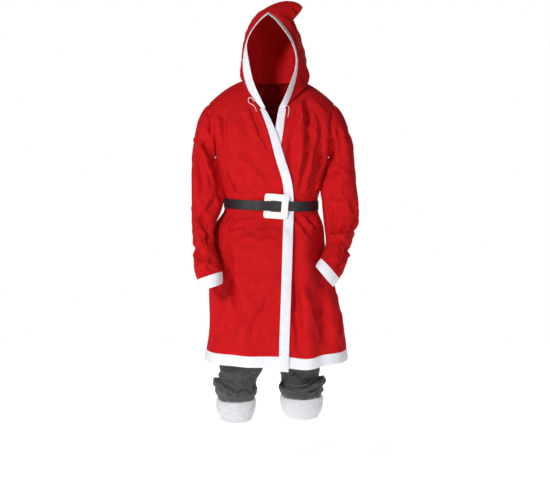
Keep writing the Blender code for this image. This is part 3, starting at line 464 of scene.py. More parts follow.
def close_seams(piece, on_rim, distance=SEAM_HALF, tuck=0.0):
    """Move the sheet's edges out along the cloth by half the space at a seam.

    Edges that point down go on by a tuck, which laps them over the piece below.
    """
    mesh = piece.data
    places, ends = coordinates(mesh), edge_table(mesh)
    inner_sum = np.zeros_like(places)
    inner_count = np.zeros(len(places))
    for first, second in (ends.T, ends[:, ::-1].T):
        crossing = on_rim[first] & ~on_rim[second]
        np.add.at(inner_sum, first[crossing], places[second[crossing]])
        np.add.at(inner_count, first[crossing], 1)
    corner = on_rim & (inner_count == 0)
    for first, second in (ends.T, ends[:, ::-1].T):
        np.add.at(inner_sum, first[corner[first]], places[second[corner[first]]])
        np.add.at(inner_count, first[corner[first]], 1)
    moved = inner_count > 0
    away = places[moved] - inner_sum[moved] / inner_count[moved, None]
    away /= np.maximum(np.linalg.norm(away, axis=1, keepdims=True), 1e-9)
    places[moved] += away * (distance + tuck * np.clip(-away[:, 2:], 0, 1))
    put(mesh, places)


# ---- Creases

def ease(value, low, high):
    """0 below low, 1 above high, and an even S between them."""
    part = np.clip((np.asarray(value, float) - low) / (high - low), 0, 1)
    return part * part * (3 - 2 * part)


def beyond_belt(heights):
    """0 at the belt's height, and 1 a little above and below it."""
    return ease(np.abs(heights - BELT_Z), BELT_HALF, BELT_HALF + BELT_FADE)


VIEWS = {"front": Vector((0, 1, 0)), "back": Vector((0, -1, 0)),
         "right": Vector((1, 0, 0)), "left": Vector((-1, 0, 0))}
LINE_POINTS = 15
CREASE_SPREAD = 1.1      # how much softer the creases are than their drawn widths


def curve_through(marks, count):
    """Points on a smooth line through marks."""
    marks = np.array(marks, float)
    slopes = np.gradient(marks, axis=0)
    found = []
    for step in np.linspace(0, len(marks) - 1, count):
        at = min(int(step), len(marks) - 2)
        part = step - at
        found.append(
            marks[at] * (1 + part * part * (2 * part - 3)) + marks[at + 1] * part * part * (3 - 2 * part)
            + slopes[at] * part * (1 - part) ** 2 + slopes[at + 1] * part * part * (part - 1))
    return np.array(found)


def crease_line(tree, view, marks):
    """Points on a sheet under a smooth line through marks, seen from one side.

    A mark is (across, height): across is x from the front and back, and y from the sides.
    """
    aim = VIEWS[view]
    found = []
    for across, height in curve_through(marks, LINE_POINTS):
        start = Vector((across, 0, height)) if aim.x == 0 else Vector((0, across, height))
        hit = tree.ray_cast(start - aim, aim)[0]
        if hit:
            found.append(np.array(hit))
    return np.array(found)


def crease_lift(places, normals, line, width, depth):
    """How far a crease along a line lifts each place: a trough with softly raised shoulders.

    One side of it is steeper than the other, its width and depth waver, and it dies out at its ends.
    """
    lift = np.zeros(len(places))
    room = 4 * CREASE_SPREAD * width
    low, high = line.min(axis=0) - room, line.max(axis=0) + room
    near = np.flatnonzero(((places > low) & (places < high)).all(axis=1))
    if len(near) == 0 or len(line) < 2:
        return lift
    starts, runs = line[:-1], line[1:] - line[:-1]
    squares = np.maximum((runs**2).sum(axis=1), 1e-12)
    offset = places[near][:, None, :] - starts[None]
    share = np.clip((offset * runs[None]).sum(axis=2) / squares, 0, 1)
    gap = offset - share[..., None] * runs[None]
    distance = np.linalg.norm(gap, axis=2)
    nearest = distance.argmin(axis=1)
    rows = np.arange(len(near))
    along = (nearest + share[rows, nearest]) / len(runs)
    across = np.cross(runs[nearest], normals[near])
    side = np.sign((across * gap[rows, nearest]).sum(axis=1))
    waver = 1 + 0.22 * np.sin(along * 9 + line[0, 0] * 90) + 0.12 * np.sin(along * 23 + line[0, 2] * 70)
    reach = distance[rows, nearest] / (CREASE_SPREAD * width * waver * np.where(side > 0, 0.75, 1.3))
    ends = ease(along, 0, 0.15) * (1 - ease(along, 0.70, 1))
    form = np.exp(-reach**2) - 0.42 * np.exp(-((reach - 1.75) / 0.75) ** 2)
    lift[near] = -depth * waver * ends * form
    return lift


def lap_limit(lift, across, lap):
    """Keep the upper front off the under one where they lap: lap is "over", "under" or nothing."""
    if lap == "over":
        return np.maximum(lift, -LAP_ROOM - 0.05 * (1 - ease(across, -0.115, -0.075)))
    if lap == "under":
        return np.minimum(lift, LAP_ROOM / 2 + 0.05 * ease(across, 0.085, 0.125))
    return lift


def wrinkle(piece, creases, calm=SEAM_CALM, belt=True, lap=None):
    """Press creases into a sheet and let its surface waver; its sewn edges keep their place.

    A crease is (view, marks, width, depth); a depth below 0 raises a ridge.
    """
    mesh = piece.data
    places, normals = coordinates(mesh), normals_of(mesh)
    tree = BVHTree.FromObject(piece, bpy.context.evaluated_depsgraph_get())
    away, on_rim = rim_distance(mesh)
    lift = np.zeros(len(places))
    for view, marks, width, depth in creases:
        line = crease_line(tree, view, marks)
        if len(line) > 1:
            lift += crease_lift(places, normals, line, width, depth)
    lift *= bpy.context.scene.suit_sizes.crease
    for number, place in enumerate(places):
        long_waves = noise.noise(Vector((place[0] / 0.05, place[1] / 0.05, place[2] / 0.15)))
        short_waves = noise.noise(Vector((place[0] / 0.017, place[1] / 0.017, place[2] / 0.04)))
        lift[number] += DRAPE * long_waves + DRAPE * 0.28 * short_waves
    lift = lap_limit(lift, places[:, 0], lap) * ease(away, 0, calm)
    pucker = np.array([noise.noise(Vector(place / 0.009)) for place in places])
    lift += 0.0005 * pucker * np.exp(-away / 0.012)
    if belt:
        lift *= beyond_belt(places[:, 2])
    places += normals * lift[:, None]
    put(mesh, places)
    return on_rim


def make_sheet(piece, node, thickness, slot, width, length):
    """Thicken and dress a sheet, and hide its solid.

    The width and the length are not used. The area is the finished sheet's own, with
    its creases, so it can't show a stretch.
    """
    thicken(piece, thickness)
    dress(piece, slot)
    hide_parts(node)


# The main creases of each piece, in metres: (view, marks, width, depth).
RIGHT_FRONT_CREASES = [
    ("front", [(-0.197, -0.090), (-0.196, -0.175), (-0.189, -0.245), (-0.170, -0.300)], 0.010, 0.0055),
    ("front", [(-0.222, -0.110), (-0.218, -0.175), (-0.208, -0.245)], 0.009, -0.0032),
    ("front", [(-0.100, -0.078), (-0.072, -0.131), (-0.044, -0.201), (-0.022, -0.255)], 0.009, 0.0055),
    ("front", [(-0.118, -0.090), (-0.090, -0.150), (-0.066, -0.220)], 0.012, -0.0030),
    ("front", [(-0.128, -0.100), (-0.104, -0.180), (-0.096, -0.250)], 0.028, 0.0035),
    ("front", [(-0.130, -0.240), (-0.075, -0.285), (-0.022, -0.315)], 0.020, 0.0040),
    ("front", [(-0.150, -0.318), (-0.126, -0.330), (-0.106, -0.334)], 0.009, 0.0026),
    ("front", [(-0.160, -0.270), (-0.120, -0.300), (-0.080, -0.345)], 0.018, -0.0028),
    ("front", [(-0.204, -0.275), (-0.178, -0.345), (-0.159, -0.391), (-0.134, -0.432)], 0.008, 0.0055),
    ("front", [(-0.192, -0.325), (-0.166, -0.372), (-0.148, -0.430)], 0.007, 0.0048),
    ("front", [(-0.120, -0.350), (-0.090, -0.385), (-0.030, -0.405)], 0.022, 0.0030),
    ("front", [(-0.062, -0.300), (-0.030, -0.350), (0.004, -0.395)], 0.016, 0.0028),
    # skirt: pinches by the belt's end, drags from the buckle, then the long hanging folds
    ("front", [(-0.163, -0.470), (-0.177, -0.500), (-0.192, -0.530)], 0.008, 0.0062),
    ("front", [(-0.140, -0.474), (-0.158, -0.512), (-0.186, -0.560)], 0.009, 0.0050),
    ("front", [(-0.030, -0.500), (-0.110, -0.532), (-0.205, -0.545)], 0.011, 0.0055),
    ("front", [(0.016, -0.521), (-0.041, -0.531), (-0.105, -0.556), (-0.205, -0.584)], 0.011, 0.0060),
    ("front", [(0.010, -0.548), (-0.059, -0.567), (-0.104, -0.590), (-0.170, -0.602)], 0.010, 0.0046),
    ("front", [(-0.192, -0.590), (-0.172, -0.713), (-0.154, -0.789), (-0.132, -0.900)], 0.0115, 0.0072),
    ("front", [(-0.150, -0.640), (-0.130, -0.760), (-0.110, -0.860)], 0.020, -0.0035),
    ("front", [(0.014, -0.770), (-0.035, -0.848), (-0.075, -0.909), (-0.103, -1.020)], 0.020, 0.0058),
    ("front", [(-0.215, -0.760), (-0.225, -0.880), (-0.236, -1.000)], 0.020, 0.0065),
    ("front", [(-0.170, -0.860), (-0.176, -0.950), (-0.180, -1.040)], 0.026, 0.0045),
    ("front", [(0.014, -0.690), (-0.041, -0.773), (-0.105, -0.886), (-0.168, -0.980)], 0.022, -0.0045),
]
LEFT_FRONT_CREASES = [
    ("front", [(0.126, -0.040), (0.125, -0.140), (0.121, -0.240)], 0.016, 0.0080),
    ("front", [(0.121, -0.220), (0.104, -0.330), (0.088, -0.425)], 0.012, 0.0052),
    ("front", [(0.163, -0.085), (0.172, -0.184), (0.153, -0.300), (0.123, -0.420)], 0.014, 0.0072),
    ("front", [(0.100, -0.060), (0.096, -0.200), (0.080, -0.390)], 0.016, -0.0045),
    ("front", [(0.104, -0.098), (0.068, -0.150), (0.030, -0.205)], 0.013, -0.0036),
    ("front", [(0.062, -0.200), (0.055, -0.310), (0.058, -0.425)], 0.012, 0.0035),
    ("front", [(0.186, -0.210), (0.180, -0.270), (0.166, -0.330)], 0.011, 0.0055),
    ("front", [(0.160, -0.360), (0.146, -0.395), (0.128, -0.425)], 0.008, 0.0045),
    ("front", [(0.180, -0.350), (0.166, -0.390), (0.150, -0.425)], 0.009, 0.0045),
    ("front", [(0.068, -0.484), (0.100, -0.525), (0.150, -0.580)], 0.011, 0.0055),
    ("front", [(0.100, -0.478), (0.130, -0.510), (0.172, -0.560)], 0.010, 0.0055),
    ("front", [(0.140, -0.475), (0.160, -0.505), (0.180, -0.530)], 0.008, 0.0045),
    ("front", [(0.050, -0.500), (0.060, -0.600), (0.068, -0.720)], 0.014, 0.0040),
    ("front", [(0.112, -0.646), (0.130, -0.642), (0.150, -0.632)], 0.008, 0.0022),
    ("front", [(0.056, -0.700), (0.066, -0.840), (0.087, -0.940), (0.092, -1.050)], 0.016, 0.0085),
    ("front", [(0.110, -0.600), (0.116, -0.780), (0.128, -1.000)], 0.026, -0.0060),
    ("front", [(0.128, -0.740), (0.159, -0.865), (0.184, -0.941), (0.198, -1.050)], 0.018, 0.0085),
    ("front", [(0.205, -0.780), (0.224, -0.900), (0.236, -1.020)], 0.020, -0.0050),
    ("front", [(0.232, -0.760), (0.246, -0.870), (0.256, -0.995)], 0.013, 0.0060),
]
BACK_CREASES = [
    ("back", [(-0.190, -0.090), (-0.184, -0.170), (-0.176, -0.260)], 0.014, 0.0060),
    ("back", [(0.168, -0.090), (0.160, -0.180), (0.148, -0.270)], 0.014, 0.0060),
    ("back", [(-0.120, -0.060), (-0.126, -0.200), (-0.100, -0.400)], 0.020, 0.0055),
    ("back", [(0.090, -0.070), (0.098, -0.220), (0.080, -0.410)], 0.022, 0.0050),
    ("back", [(-0.050, -0.140), (-0.030, -0.270), (-0.040, -0.420)], 0.020, -0.0035),
    ("back", [(0.030, -0.200), (0.020, -0.320), (0.034, -0.425)], 0.016, 0.0040),
    ("back", [(-0.160, -0.300), (-0.130, -0.370), (-0.120, -0.425)], 0.010, 0.0050),
    ("back", [(0.150, -0.310), (0.120, -0.370), (0.108, -0.425)], 0.010, 0.0050),
    ("back", [(-0.080, -0.350), (-0.076, -0.390), (-0.068, -0.425)], 0.009, 0.0040),
    ("back", [(0.060, -0.345), (0.058, -0.385), (0.052, -0.425)], 0.010, 0.0040),
    ("back", [(-0.150, -0.480), (-0.166, -0.560), (-0.190, -0.650)], 0.011, 0.0058),
    ("back", [(-0.100, -0.478), (-0.108, -0.570), (-0.128, -0.700)], 0.012, 0.0060),
    ("back", [(-0.050, -0.478), (-0.050, -0.590), (-0.062, -0.760)], 0.014, 0.0055),
    ("back", [(0.004, -0.478), (0.000, -0.560), (-0.008, -0.660)], 0.012, 0.0045),
    ("back", [(0.052, -0.478), (0.060, -0.590), (0.070, -0.740)], 0.013, 0.0060),
    ("back", [(0.104, -0.478), (0.120, -0.580), (0.146, -0.700)], 0.012, 0.0058),
    ("back", [(0.140, -0.480), (0.160, -0.540), (0.182, -0.620)], 0.010, 0.0050),
    ("back", [(-0.200, -0.700), (-0.218, -0.860), (-0.232, -1.040)], 0.022, 0.0095),
    ("back", [(-0.130, -0.720), (-0.142, -0.880), (-0.150, -1.040)], 0.026, -0.0070),
    ("back", [(-0.070, -0.700), (-0.080, -0.870), (-0.088, -1.040)], 0.022, 0.0090),
    ("back", [(0.000, -0.660), (0.002, -0.850), (-0.004, -1.040)], 0.028, -0.0060),
    ("back", [(0.070, -0.690), (0.084, -0.860), (0.092, -1.040)], 0.024, 0.0090),
    ("back", [(0.140, -0.700), (0.158, -0.880), (0.168, -1.040)], 0.024, -0.0060),
    ("back", [(0.196, -0.700), (0.216, -0.860), (0.232, -1.030)], 0.020, 0.0085),
]
RIGHT_SLEEVE_CREASES = [
    ("right", [(0.000, -0.130), (-0.020, -0.280), (-0.034, -0.520)], 0.045, 0.0022),
    ("left", [(-0.026, -0.272), (-0.040, -0.350), (-0.050, -0.430), (-0.060, -0.540)], 0.020, -0.0060),
    ("left", [(-0.024, -0.266), (-0.028, -0.290), (-0.036, -0.320)], 0.016, -0.0045),
    ("front", [(-0.284, -0.190), (-0.252, -0.262), (-0.236, -0.333), (-0.214, -0.385)], 0.010, 0.0070),
    ("front", [(-0.302, -0.175), (-0.279, -0.257), (-0.253, -0.327), (-0.225, -0.395)], 0.008, -0.0040),
    ("front", [(-0.256, -0.098), (-0.246, -0.150), (-0.250, -0.200)], 0.007, 0.0050),
    ("front", [(-0.303, -0.225), (-0.291, -0.307), (-0.281, -0.374), (-0.290, -0.435)], 0.010, 0.0060),
    ("front", [(-0.258, -0.150), (-0.250, -0.230), (-0.246, -0.300)], 0.013, -0.0040),
    ("front", [(-0.312, -0.330), (-0.300, -0.420), (-0.272, -0.490)], 0.013, -0.0045),
    ("front", [(-0.226, -0.420), (-0.252, -0.470), (-0.296, -0.500)], 0.012, 0.0060),
    ("front", [(-0.292, -0.480), (-0.262, -0.545), (-0.240, -0.620)], 0.013, 0.0070),
    ("front", [(-0.246, -0.520), (-0.262, -0.580), (-0.292, -0.610)], 0.010, 0.0045),
    ("front", [(-0.312, -0.560), (-0.296, -0.630), (-0.260, -0.668)], 0.012, 0.0050),
    ("front", [(-0.300, -0.690), (-0.262, -0.668), (-0.216, -0.688)], 0.010, -0.0040),
    ("front", [(-0.232, -0.640), (-0.252, -0.690), (-0.288, -0.716)], 0.010, 0.0042),
    ("right", [(-0.030, -0.160), (0.010, -0.260), (0.000, -0.380)], 0.014, 0.0055),
    ("right", [(0.046, -0.200), (0.030, -0.300), (0.052, -0.400)], 0.013, 0.0050),
    ("right", [(-0.050, -0.440), (0.000, -0.480), (0.050, -0.470)], 0.012, 0.0055),
    ("right", [(-0.080, -0.530), (-0.030, -0.560), (0.020, -0.545)], 0.012, 0.0055),
    ("right", [(-0.150, -0.600), (-0.090, -0.640), (-0.050, -0.630)], 0.012, 0.0050),
    ("back", [(-0.290, -0.140), (-0.276, -0.260), (-0.262, -0.360)], 0.014, 0.0060),
    ("back", [(-0.250, -0.330), (-0.280, -0.400), (-0.300, -0.460)], 0.012, 0.0050),
    ("back", [(-0.306, -0.470), (-0.280, -0.520), (-0.250, -0.540)], 0.012, 0.0060),
]
LEFT_SLEEVE_CREASES = [
    ("right", [(-0.026, -0.272), (-0.036, -0.320), (-0.048, -0.380), (-0.056, -0.450)], 0.018, -0.0055),
    ("right", [(-0.024, -0.266), (-0.028, -0.290), (-0.036, -0.320)], 0.016, -0.0045),
    ("front", [(0.212, -0.190), (0.222, -0.250), (0.214, -0.320)], 0.010, 0.0055),
    ("front", [(0.238, -0.150), (0.250, -0.225), (0.244, -0.290)], 0.010, 0.0050),
    ("front", [(0.220, -0.338), (0.252, -0.305), (0.288, -0.262)], 0.011, 0.0050),
    ("front", [(0.226, -0.375), (0.262, -0.350), (0.300, -0.330)], 0.013, -0.0035),
    ("front", [(0.210, -0.410), (0.250, -0.430), (0.302, -0.400)], 0.014, 0.0040),
    ("front", [(0.204, -0.545), (0.246, -0.556), (0.290, -0.534)], 0.011, 0.0070),
    ("front", [(0.210, -0.585), (0.244, -0.570), (0.284, -0.590)], 0.012, -0.0045),
    ("front", [(0.290, -0.430), (0.306, -0.500), (0.286, -0.560)], 0.012, 0.0045),
    ("front", [(0.200, -0.460), (0.212, -0.500), (0.206, -0.560)], 0.010, 0.0045),
    ("front", [(0.282, -0.590), (0.262, -0.650), (0.226, -0.700)], 0.012, 0.0045),
    ("front", [(0.244, -0.600), (0.228, -0.640), (0.196, -0.660)], 0.010, -0.0035),
    ("left", [(-0.020, -0.160), (0.010, -0.270), (-0.010, -0.400)], 0.014, 0.0055),
    ("left", [(0.048, -0.220), (0.030, -0.320), (0.050, -0.420)], 0.013, 0.0050),
    ("left", [(-0.050, -0.460), (0.000, -0.500), (0.046, -0.485)], 0.012, 0.0055),
    ("left", [(-0.090, -0.545), (-0.030, -0.575), (0.010, -0.560)], 0.012, 0.0055),
    ("left", [(-0.130, -0.610), (-0.080, -0.640), (-0.040, -0.630)], 0.011, 0.0050),
    ("back", [(0.262, -0.150), (0.250, -0.260), (0.236, -0.360)], 0.014, 0.0060),
    ("back", [(0.230, -0.340), (0.262, -0.400), (0.290, -0.450)], 0.012, 0.0050),
    ("back", [(0.300, -0.480), (0.262, -0.530), (0.230, -0.550)], 0.012, 0.0060),
]
RIGHT_HOOD_CREASES = [
    ("right", [(-0.040, 0.140), (0.010, 0.070), (0.050, -0.010)], 0.016, 0.0045),
    ("right", [(-0.060, 0.060), (-0.030, 0.010), (-0.020, -0.040)], 0.013, 0.0040),
    ("right", [(0.030, 0.230), (0.060, 0.150), (0.090, 0.060)], 0.018, -0.0040),
    ("right", [(0.000, 0.300), (0.040, 0.250), (0.070, 0.200)], 0.014, 0.0045),
    ("back", [(-0.060, 0.180), (-0.070, 0.090), (-0.060, 0.010)], 0.018, 0.0045),
    ("front", [(-0.096, 0.180), (-0.108, 0.140), (-0.116, 0.090)], 0.010, 0.0035),
]
LEFT_HOOD_CREASES = [
    ("left", [(-0.050, 0.150), (0.000, 0.080), (0.040, -0.010)], 0.018, 0.0028),
    ("left", [(-0.070, 0.050), (-0.040, 0.000), (-0.030, -0.050)], 0.015, 0.0026),
    ("left", [(0.020, 0.220), (0.060, 0.140), (0.080, 0.050)], 0.018, -0.0040),
    ("front", [(0.050, 0.262), (0.076, 0.226), (0.096, 0.190)], 0.012, 0.0048),
    ("front", [(0.070, 0.315), (0.078, 0.296), (0.086, 0.280)], 0.010, 0.0045),
    ("front", [(0.100, 0.130), (0.106, 0.060), (0.104, -0.010)], 0.014, 0.0022),
    ("back", [(0.060, 0.190), (0.070, 0.100), (0.056, 0.010)], 0.018, 0.0045),
]
RIGHT_LEG_CREASES = [
    ("front", [(-0.245, -1.138), (-0.223, -1.147), (-0.196, -1.161), (-0.172, -1.170), (-0.154, -1.183),
               (-0.132, -1.182), (-0.097, -1.167)], 0.0050, 0.0072),
    ("front", [(-0.226, -1.166), (-0.205, -1.180), (-0.176, -1.188)], 0.007, 0.0035),
    ("front", [(-0.190, -1.182), (-0.181, -1.193), (-0.172, -1.207)], 0.006, 0.0038),
    ("front", [(-0.142, -1.185), (-0.141, -1.195), (-0.139, -1.207)], 0.006, 0.0035),
    ("front", [(-0.112, -1.176), (-0.098, -1.190), (-0.090, -1.205)], 0.006, 0.0030),
    ("front", [(-0.147, -1.070), (-0.143, -1.120), (-0.150, -1.164)], 0.014, -0.0030),
    ("front", [(-0.085, -1.110), (-0.098, -1.140), (-0.110, -1.165)], 0.010, 0.0035),
    ("back", [(-0.220, -1.150), (-0.150, -1.176), (-0.080, -1.150)], 0.008, 0.0070),
    ("back", [(-0.230, -1.180), (-0.170, -1.196), (-0.100, -1.186)], 0.008, 0.0045),
    ("back", [(-0.200, -1.070), (-0.180, -1.110), (-0.170, -1.150)], 0.012, 0.0035),
    ("right", [(-0.070, -1.148), (0.000, -1.140), (0.070, -1.154)], 0.007, 0.0060),
    ("right", [(-0.040, -1.180), (0.010, -1.186), (0.060, -1.178)], 0.008, 0.0040),
    ("left", [(0.060, -1.176), (0.000, -1.168), (-0.060, -1.180)], 0.007, 0.0050),
]
LEFT_LEG_CREASES = [
    ("front", [(0.170, -1.131), (0.155, -1.144), (0.140, -1.152), (0.113, -1.166), (0.080, -1.168),
               (0.049, -1.161), (0.026, -1.147)], 0.0050, 0.0068),
    ("front", [(0.191, -1.158), (0.157, -1.178), (0.123, -1.184), (0.063, -1.175), (0.026, -1.163)],
     0.005, 0.0055),
    ("front", [(0.184, -1.187), (0.130, -1.199), (0.063, -1.196), (0.023, -1.188)], 0.006, 0.0045),
    ("front", [(0.063, -1.108), (0.080, -1.112), (0.113, -1.130)], 0.010, 0.0035),
    ("front", [(0.150, -1.090), (0.140, -1.120), (0.120, -1.145)], 0.012, 0.0030),
    ("back", [(0.020, -1.150), (0.100, -1.174), (0.180, -1.150)], 0.008, 0.0070),
    ("back", [(0.030, -1.180), (0.100, -1.194), (0.180, -1.180)], 0.008, 0.0045),
    ("back", [(0.070, -1.070), (0.090, -1.110), (0.100, -1.146)], 0.012, 0.0035),
    ("left", [(-0.070, -1.146), (0.000, -1.136), (0.070, -1.150)], 0.007, 0.0060),
    ("left", [(-0.040, -1.176), (0.010, -1.184), (0.060, -1.174)], 0.008, 0.0040),
    ("right", [(-0.060, -1.168), (0.000, -1.160), (0.060, -1.170)], 0.007, 0.0050),
]


# ---- Pieces

def felt_piece(node, creases, levels, cut, hollow=None, belt=True, seam=SEAM_HALF, lap=None, tuck=0.0,
               calm=SEAM_CALM):
    """A creased felt shell on its solid."""
    piece = outer_wall(node, node + "_felt", FELT_WALL, hollow)
    refine(piece, levels)
    on_rim = wrinkle(piece, creases, calm=calm, belt=belt, lap=lap)
    close_seams(piece, on_rim, seam, tuck)
    make_sheet(piece, node, bpy.context.scene.suit_sizes.felt, "felt", *cut)


def band_piece(node, width, length, hollow=None):
    """A fleece band: a soft strip that swells between its edges."""
    sizes = bpy.context.scene.suit_sizes
    piece = outer_wall(node, node + "_fleece", TRIM_WALL, hollow)
    refine(piece, 3)
    mesh = piece.data
    away, on_rim = rim_distance(mesh)
    places, normals = coordinates(mesh), normals_of(mesh)
    swell = sizes.crown * (1 - np.exp(-away / 0.005)) - 0.0004
    lumps = np.array([noise.noise(Vector(place / 0.022)) for place in places])
    swell = (swell + 0.0006 * lumps * ease(away, 0, 0.01)) * beyond_belt(places[:, 2])
    places += normals * swell[:, None]
    put(mesh, places)
    close_seams(piece, on_rim)
    make_sheet(piece, node, sizes.band, "trim", width, length)


def twill_piece(node, levels, width, length, creases=()):
    """A twill shell on its solid."""
    piece = outer_wall(node, node + "_twill", TWILL_WALL)
    refine(piece, levels)
    if creases:
        wrinkle(piece, creases)
    make_sheet(piece, node, bpy.context.scene.suit_sizes.twill, "twill", width, length)


class SUIT_OT_coat(bpy.types.Operator):
    """Make the coat's two fronts and its back"""
    bl_idname = "suit.coat"
    bl_label = "Coat"

    def execute(self, context):
        felt_piece("front_right", RIGHT_FRONT_CREASES, 3, (0.44, 1.12), COAT_MIDDLE, lap="over")
        felt_piece("front_left", LEFT_FRONT_CREASES, 3, (0.40, 1.12), COAT_MIDDLE, lap="under")
        felt_piece("back", BACK_CREASES, 2, (0.80, 1.12), COAT_MIDDLE, seam=SHAPED_SEAM)
        return {"FINISHED"}


class SUIT_OT_sleeves(bpy.types.Operator):
    """Make the two sleeves"""
    bl_idname = "suit.sleeves"
    bl_label = "Sleeves"

    def execute(self, context):
        for node, creases in (
            ("sleeve_right", RIGHT_SLEEVE_CREASES), ("sleeve_left", LEFT_SLEEVE_CREASES),
        ):
            felt_piece(node, creases, 3, (0.56, 0.78), belt=False, seam=SHAPED_SEAM, calm=SLEEVE_CALM)
        return {"FINISHED"}


class SUIT_OT_hood(bpy.types.Operator):
    """Make the hood's two halves"""
    bl_idname = "suit.hood"
    bl_label = "Hood"

    def execute(self, context):
        for node, creases in (("hood_right", RIGHT_HOOD_CREASES), ("hood_left", LEFT_HOOD_CREASES)):
            felt_piece(node, creases, 2, (0.36, 0.52), HOOD_MIDDLE, belt=False, seam=HOOD_SEAM,
                       tuck=NECK_TUCK)
        return {"FINISHED"}


class SUIT_OT_bands(bpy.types.Operator):
    """Make the white bands of the fronts, hem, hood and sleeves"""
    bl_idname = "suit.bands"
    bl_label = "Bands"

    def execute(self, context):
        for node, width, length, hollow in (
            ("front_band_right", 0.06, 1.05, COAT_MIDDLE),
            ("front_band_left", 0.06, 1.05, COAT_MIDDLE),
            ("hem_band_front_right", 0.055, 0.46, COAT_MIDDLE),
            ("hem_band_front_left", 0.055, 0.42, COAT_MIDDLE),
            ("hem_band_back", 0.055, 0.86, COAT_MIDDLE),
            ("hood_band_right", 0.06, 0.44, HOOD_MIDDLE),
            ("hood_band_left", 0.06, 0.44, HOOD_MIDDLE),
            ("cuff_band_right", 0.055, 0.36, None),
            ("cuff_band_left", 0.055, 0.36, None),
        ):
            band_piece(node, width, length, hollow)
        return {"FINISHED"}


class SUIT_OT_belt(bpy.types.Operator):
    """Make the belt's vinyl strap"""
    bl_idname = "suit.belt"
    bl_label = "Belt"

    def execute(self, context):
        piece = copy_of("belt", "belt_vinyl")
        piece.data.shade_smooth()
        piece.data.set_sharp_from_angle(angle=math.radians(40))
        dress(piece, "vinyl")
        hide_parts("belt")
        return {"FINISHED"}


class SUIT_OT_buckle(bpy.types.Operator):
    """Make the white frame buckle with rounded edges"""
    bl_idname = "suit.buckle"
    bl_label = "Buckle"

    def execute(self, context):
        piece = copy_of("buckle", "buckle_frame")
        bpy.ops.object.mode_set(mode="EDIT")
        bpy.ops.mesh.select_all(action="SELECT")
        bpy.ops.mesh.dissolve_limited(angle_limit=math.radians(3))
        bpy.ops.object.mode_set(mode="OBJECT")
        apply_modifier(piece, "BEVEL", width=0.0012, segments=4, limit_method="ANGLE",
                       angle_limit=math.radians(50))
        piece.data.shade_smooth()
        piece.data.set_sharp_from_angle(angle=math.radians(35))
        dress(piece, "plastic")
        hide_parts("buckle")
        return {"FINISHED"}


class SUIT_OT_trousers(bpy.types.Operator):
    """Make the trouser legs and the waistband"""
    bl_idname = "suit.trousers"
    bl_label = "Trousers"

    def execute(self, context):
        twill_piece("trouser_leg_right", 3, 0.62, 0.86, RIGHT_LEG_CREASES)
        twill_piece("trouser_leg_left", 3, 0.62, 0.86, LEFT_LEG_CREASES)
        twill_piece("waistband", 2, 0.045, 1.0)
        return {"FINISHED"}


def plush_lock(length):
    """One curved lock of the pile, three-sided and pointed, standing on the origin."""
    bpy.ops.object.select_all(action="DESELECT")
    bpy.ops.mesh.primitive_cone_add(
        vertices=3, radius1=0.0011, radius2=0.0002, depth=length, end_fill_type="NOTHING",
        location=(0, 0, length / 2))
    lock = bpy.context.object
    bpy.ops.object.transform_apply(location=True)
    bpy.ops.object.mode_set(mode="EDIT")
    bpy.ops.mesh.select_all(action="SELECT")
    bpy.ops.mesh.bisect(plane_co=(0, 0, length * 0.5), plane_no=(0, 0, 1))
    bpy.ops.object.mode_set(mode="OBJECT")
    places = coordinates(lock.data)
    places[:, 0] += length * 0.35 * (places[:, 2] / length) ** 2
    lock.data.vertices.foreach_set("co", places.ravel())
    lock.name = "plush_lock"
    return lock


def pile_nodes(lock, density, seed):
    """Geometry nodes that stand locks on a shell: random in turn, tilt and size, then realized."""
    group = bpy.data.node_groups.new("plush pile", "GeometryNodeTree")
    group.interface.new_socket("Geometry", in_out="INPUT", socket_type="NodeSocketGeometry")
    group.interface.new_socket("Geometry", in_out="OUTPUT", socket_type="NodeSocketGeometry")
    start = add_node(group, "NodeGroupInput")
    skin = start.outputs[0]
    points = add_node(group, "GeometryNodeDistributePointsOnFaces", [("Mesh", skin)], seed=seed)
    points.inputs["Density"].default_value = density
    tilt = add_node(group, "FunctionNodeRandomValue", data_type="FLOAT_VECTOR")
    tilt.inputs[0].default_value = (-0.45, -0.45, -math.pi)
    tilt.inputs[1].default_value = (0.45, 0.45, math.pi)
    turn = add_node(group, "FunctionNodeRotateRotation", [(0, points.outputs["Rotation"]),
                                                          (1, tilt.outputs[0])], rotation_space="LOCAL")
    size = add_node(group, "FunctionNodeRandomValue", data_type="FLOAT")
    size.inputs[2].default_value = 0.7
    size.inputs[3].default_value = 1.15
    shape = add_node(group, "GeometryNodeObjectInfo")
    shape.inputs["Object"].default_value = lock
    copies = add_node(group, "GeometryNodeInstanceOnPoints", [
        ("Points", points.outputs["Points"]), ("Instance", shape.outputs["Geometry"]),
        ("Rotation", turn.outputs[0]), ("Scale", size.outputs[1])])
    real = add_node(group, "GeometryNodeRealizeInstances", [("Geometry", copies.outputs[0])])
    whole = add_node(group, "GeometryNodeJoinGeometry", [("Geometry", real.outputs[0])])
    group.links.new(skin, whole.inputs[0])
    add_node(group, "NodeGroupOutput", [(0, whole.outputs[0])])
    return group


class SUIT_OT_plush_cuffs(bpy.types.Operator):
    """Make the trousers' plush cuffs"""
    bl_idname = "suit.plush_cuffs"
    bl_label = "Plush cuffs"

    def execute(self, context):
        lock = plush_lock(context.scene.suit_sizes.pile)
        for number, side in enumerate(("right", "left")):
            node = "trouser_cuff_" + side
            piece = outer_wall(node, node + "_plush", PLUSH_WALL)
            refine(piece, 2)
            thicken(piece, PLUSH_BACKING)
            piece.data.materials.clear()
            apply_modifier(piece, "NODES", node_group=pile_nodes(lock, PILE_DENSITY, number))
            dress(piece, "plush")
            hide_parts(node)
        bpy.data.objects.remove(lock)
        return {"FINISHED"}


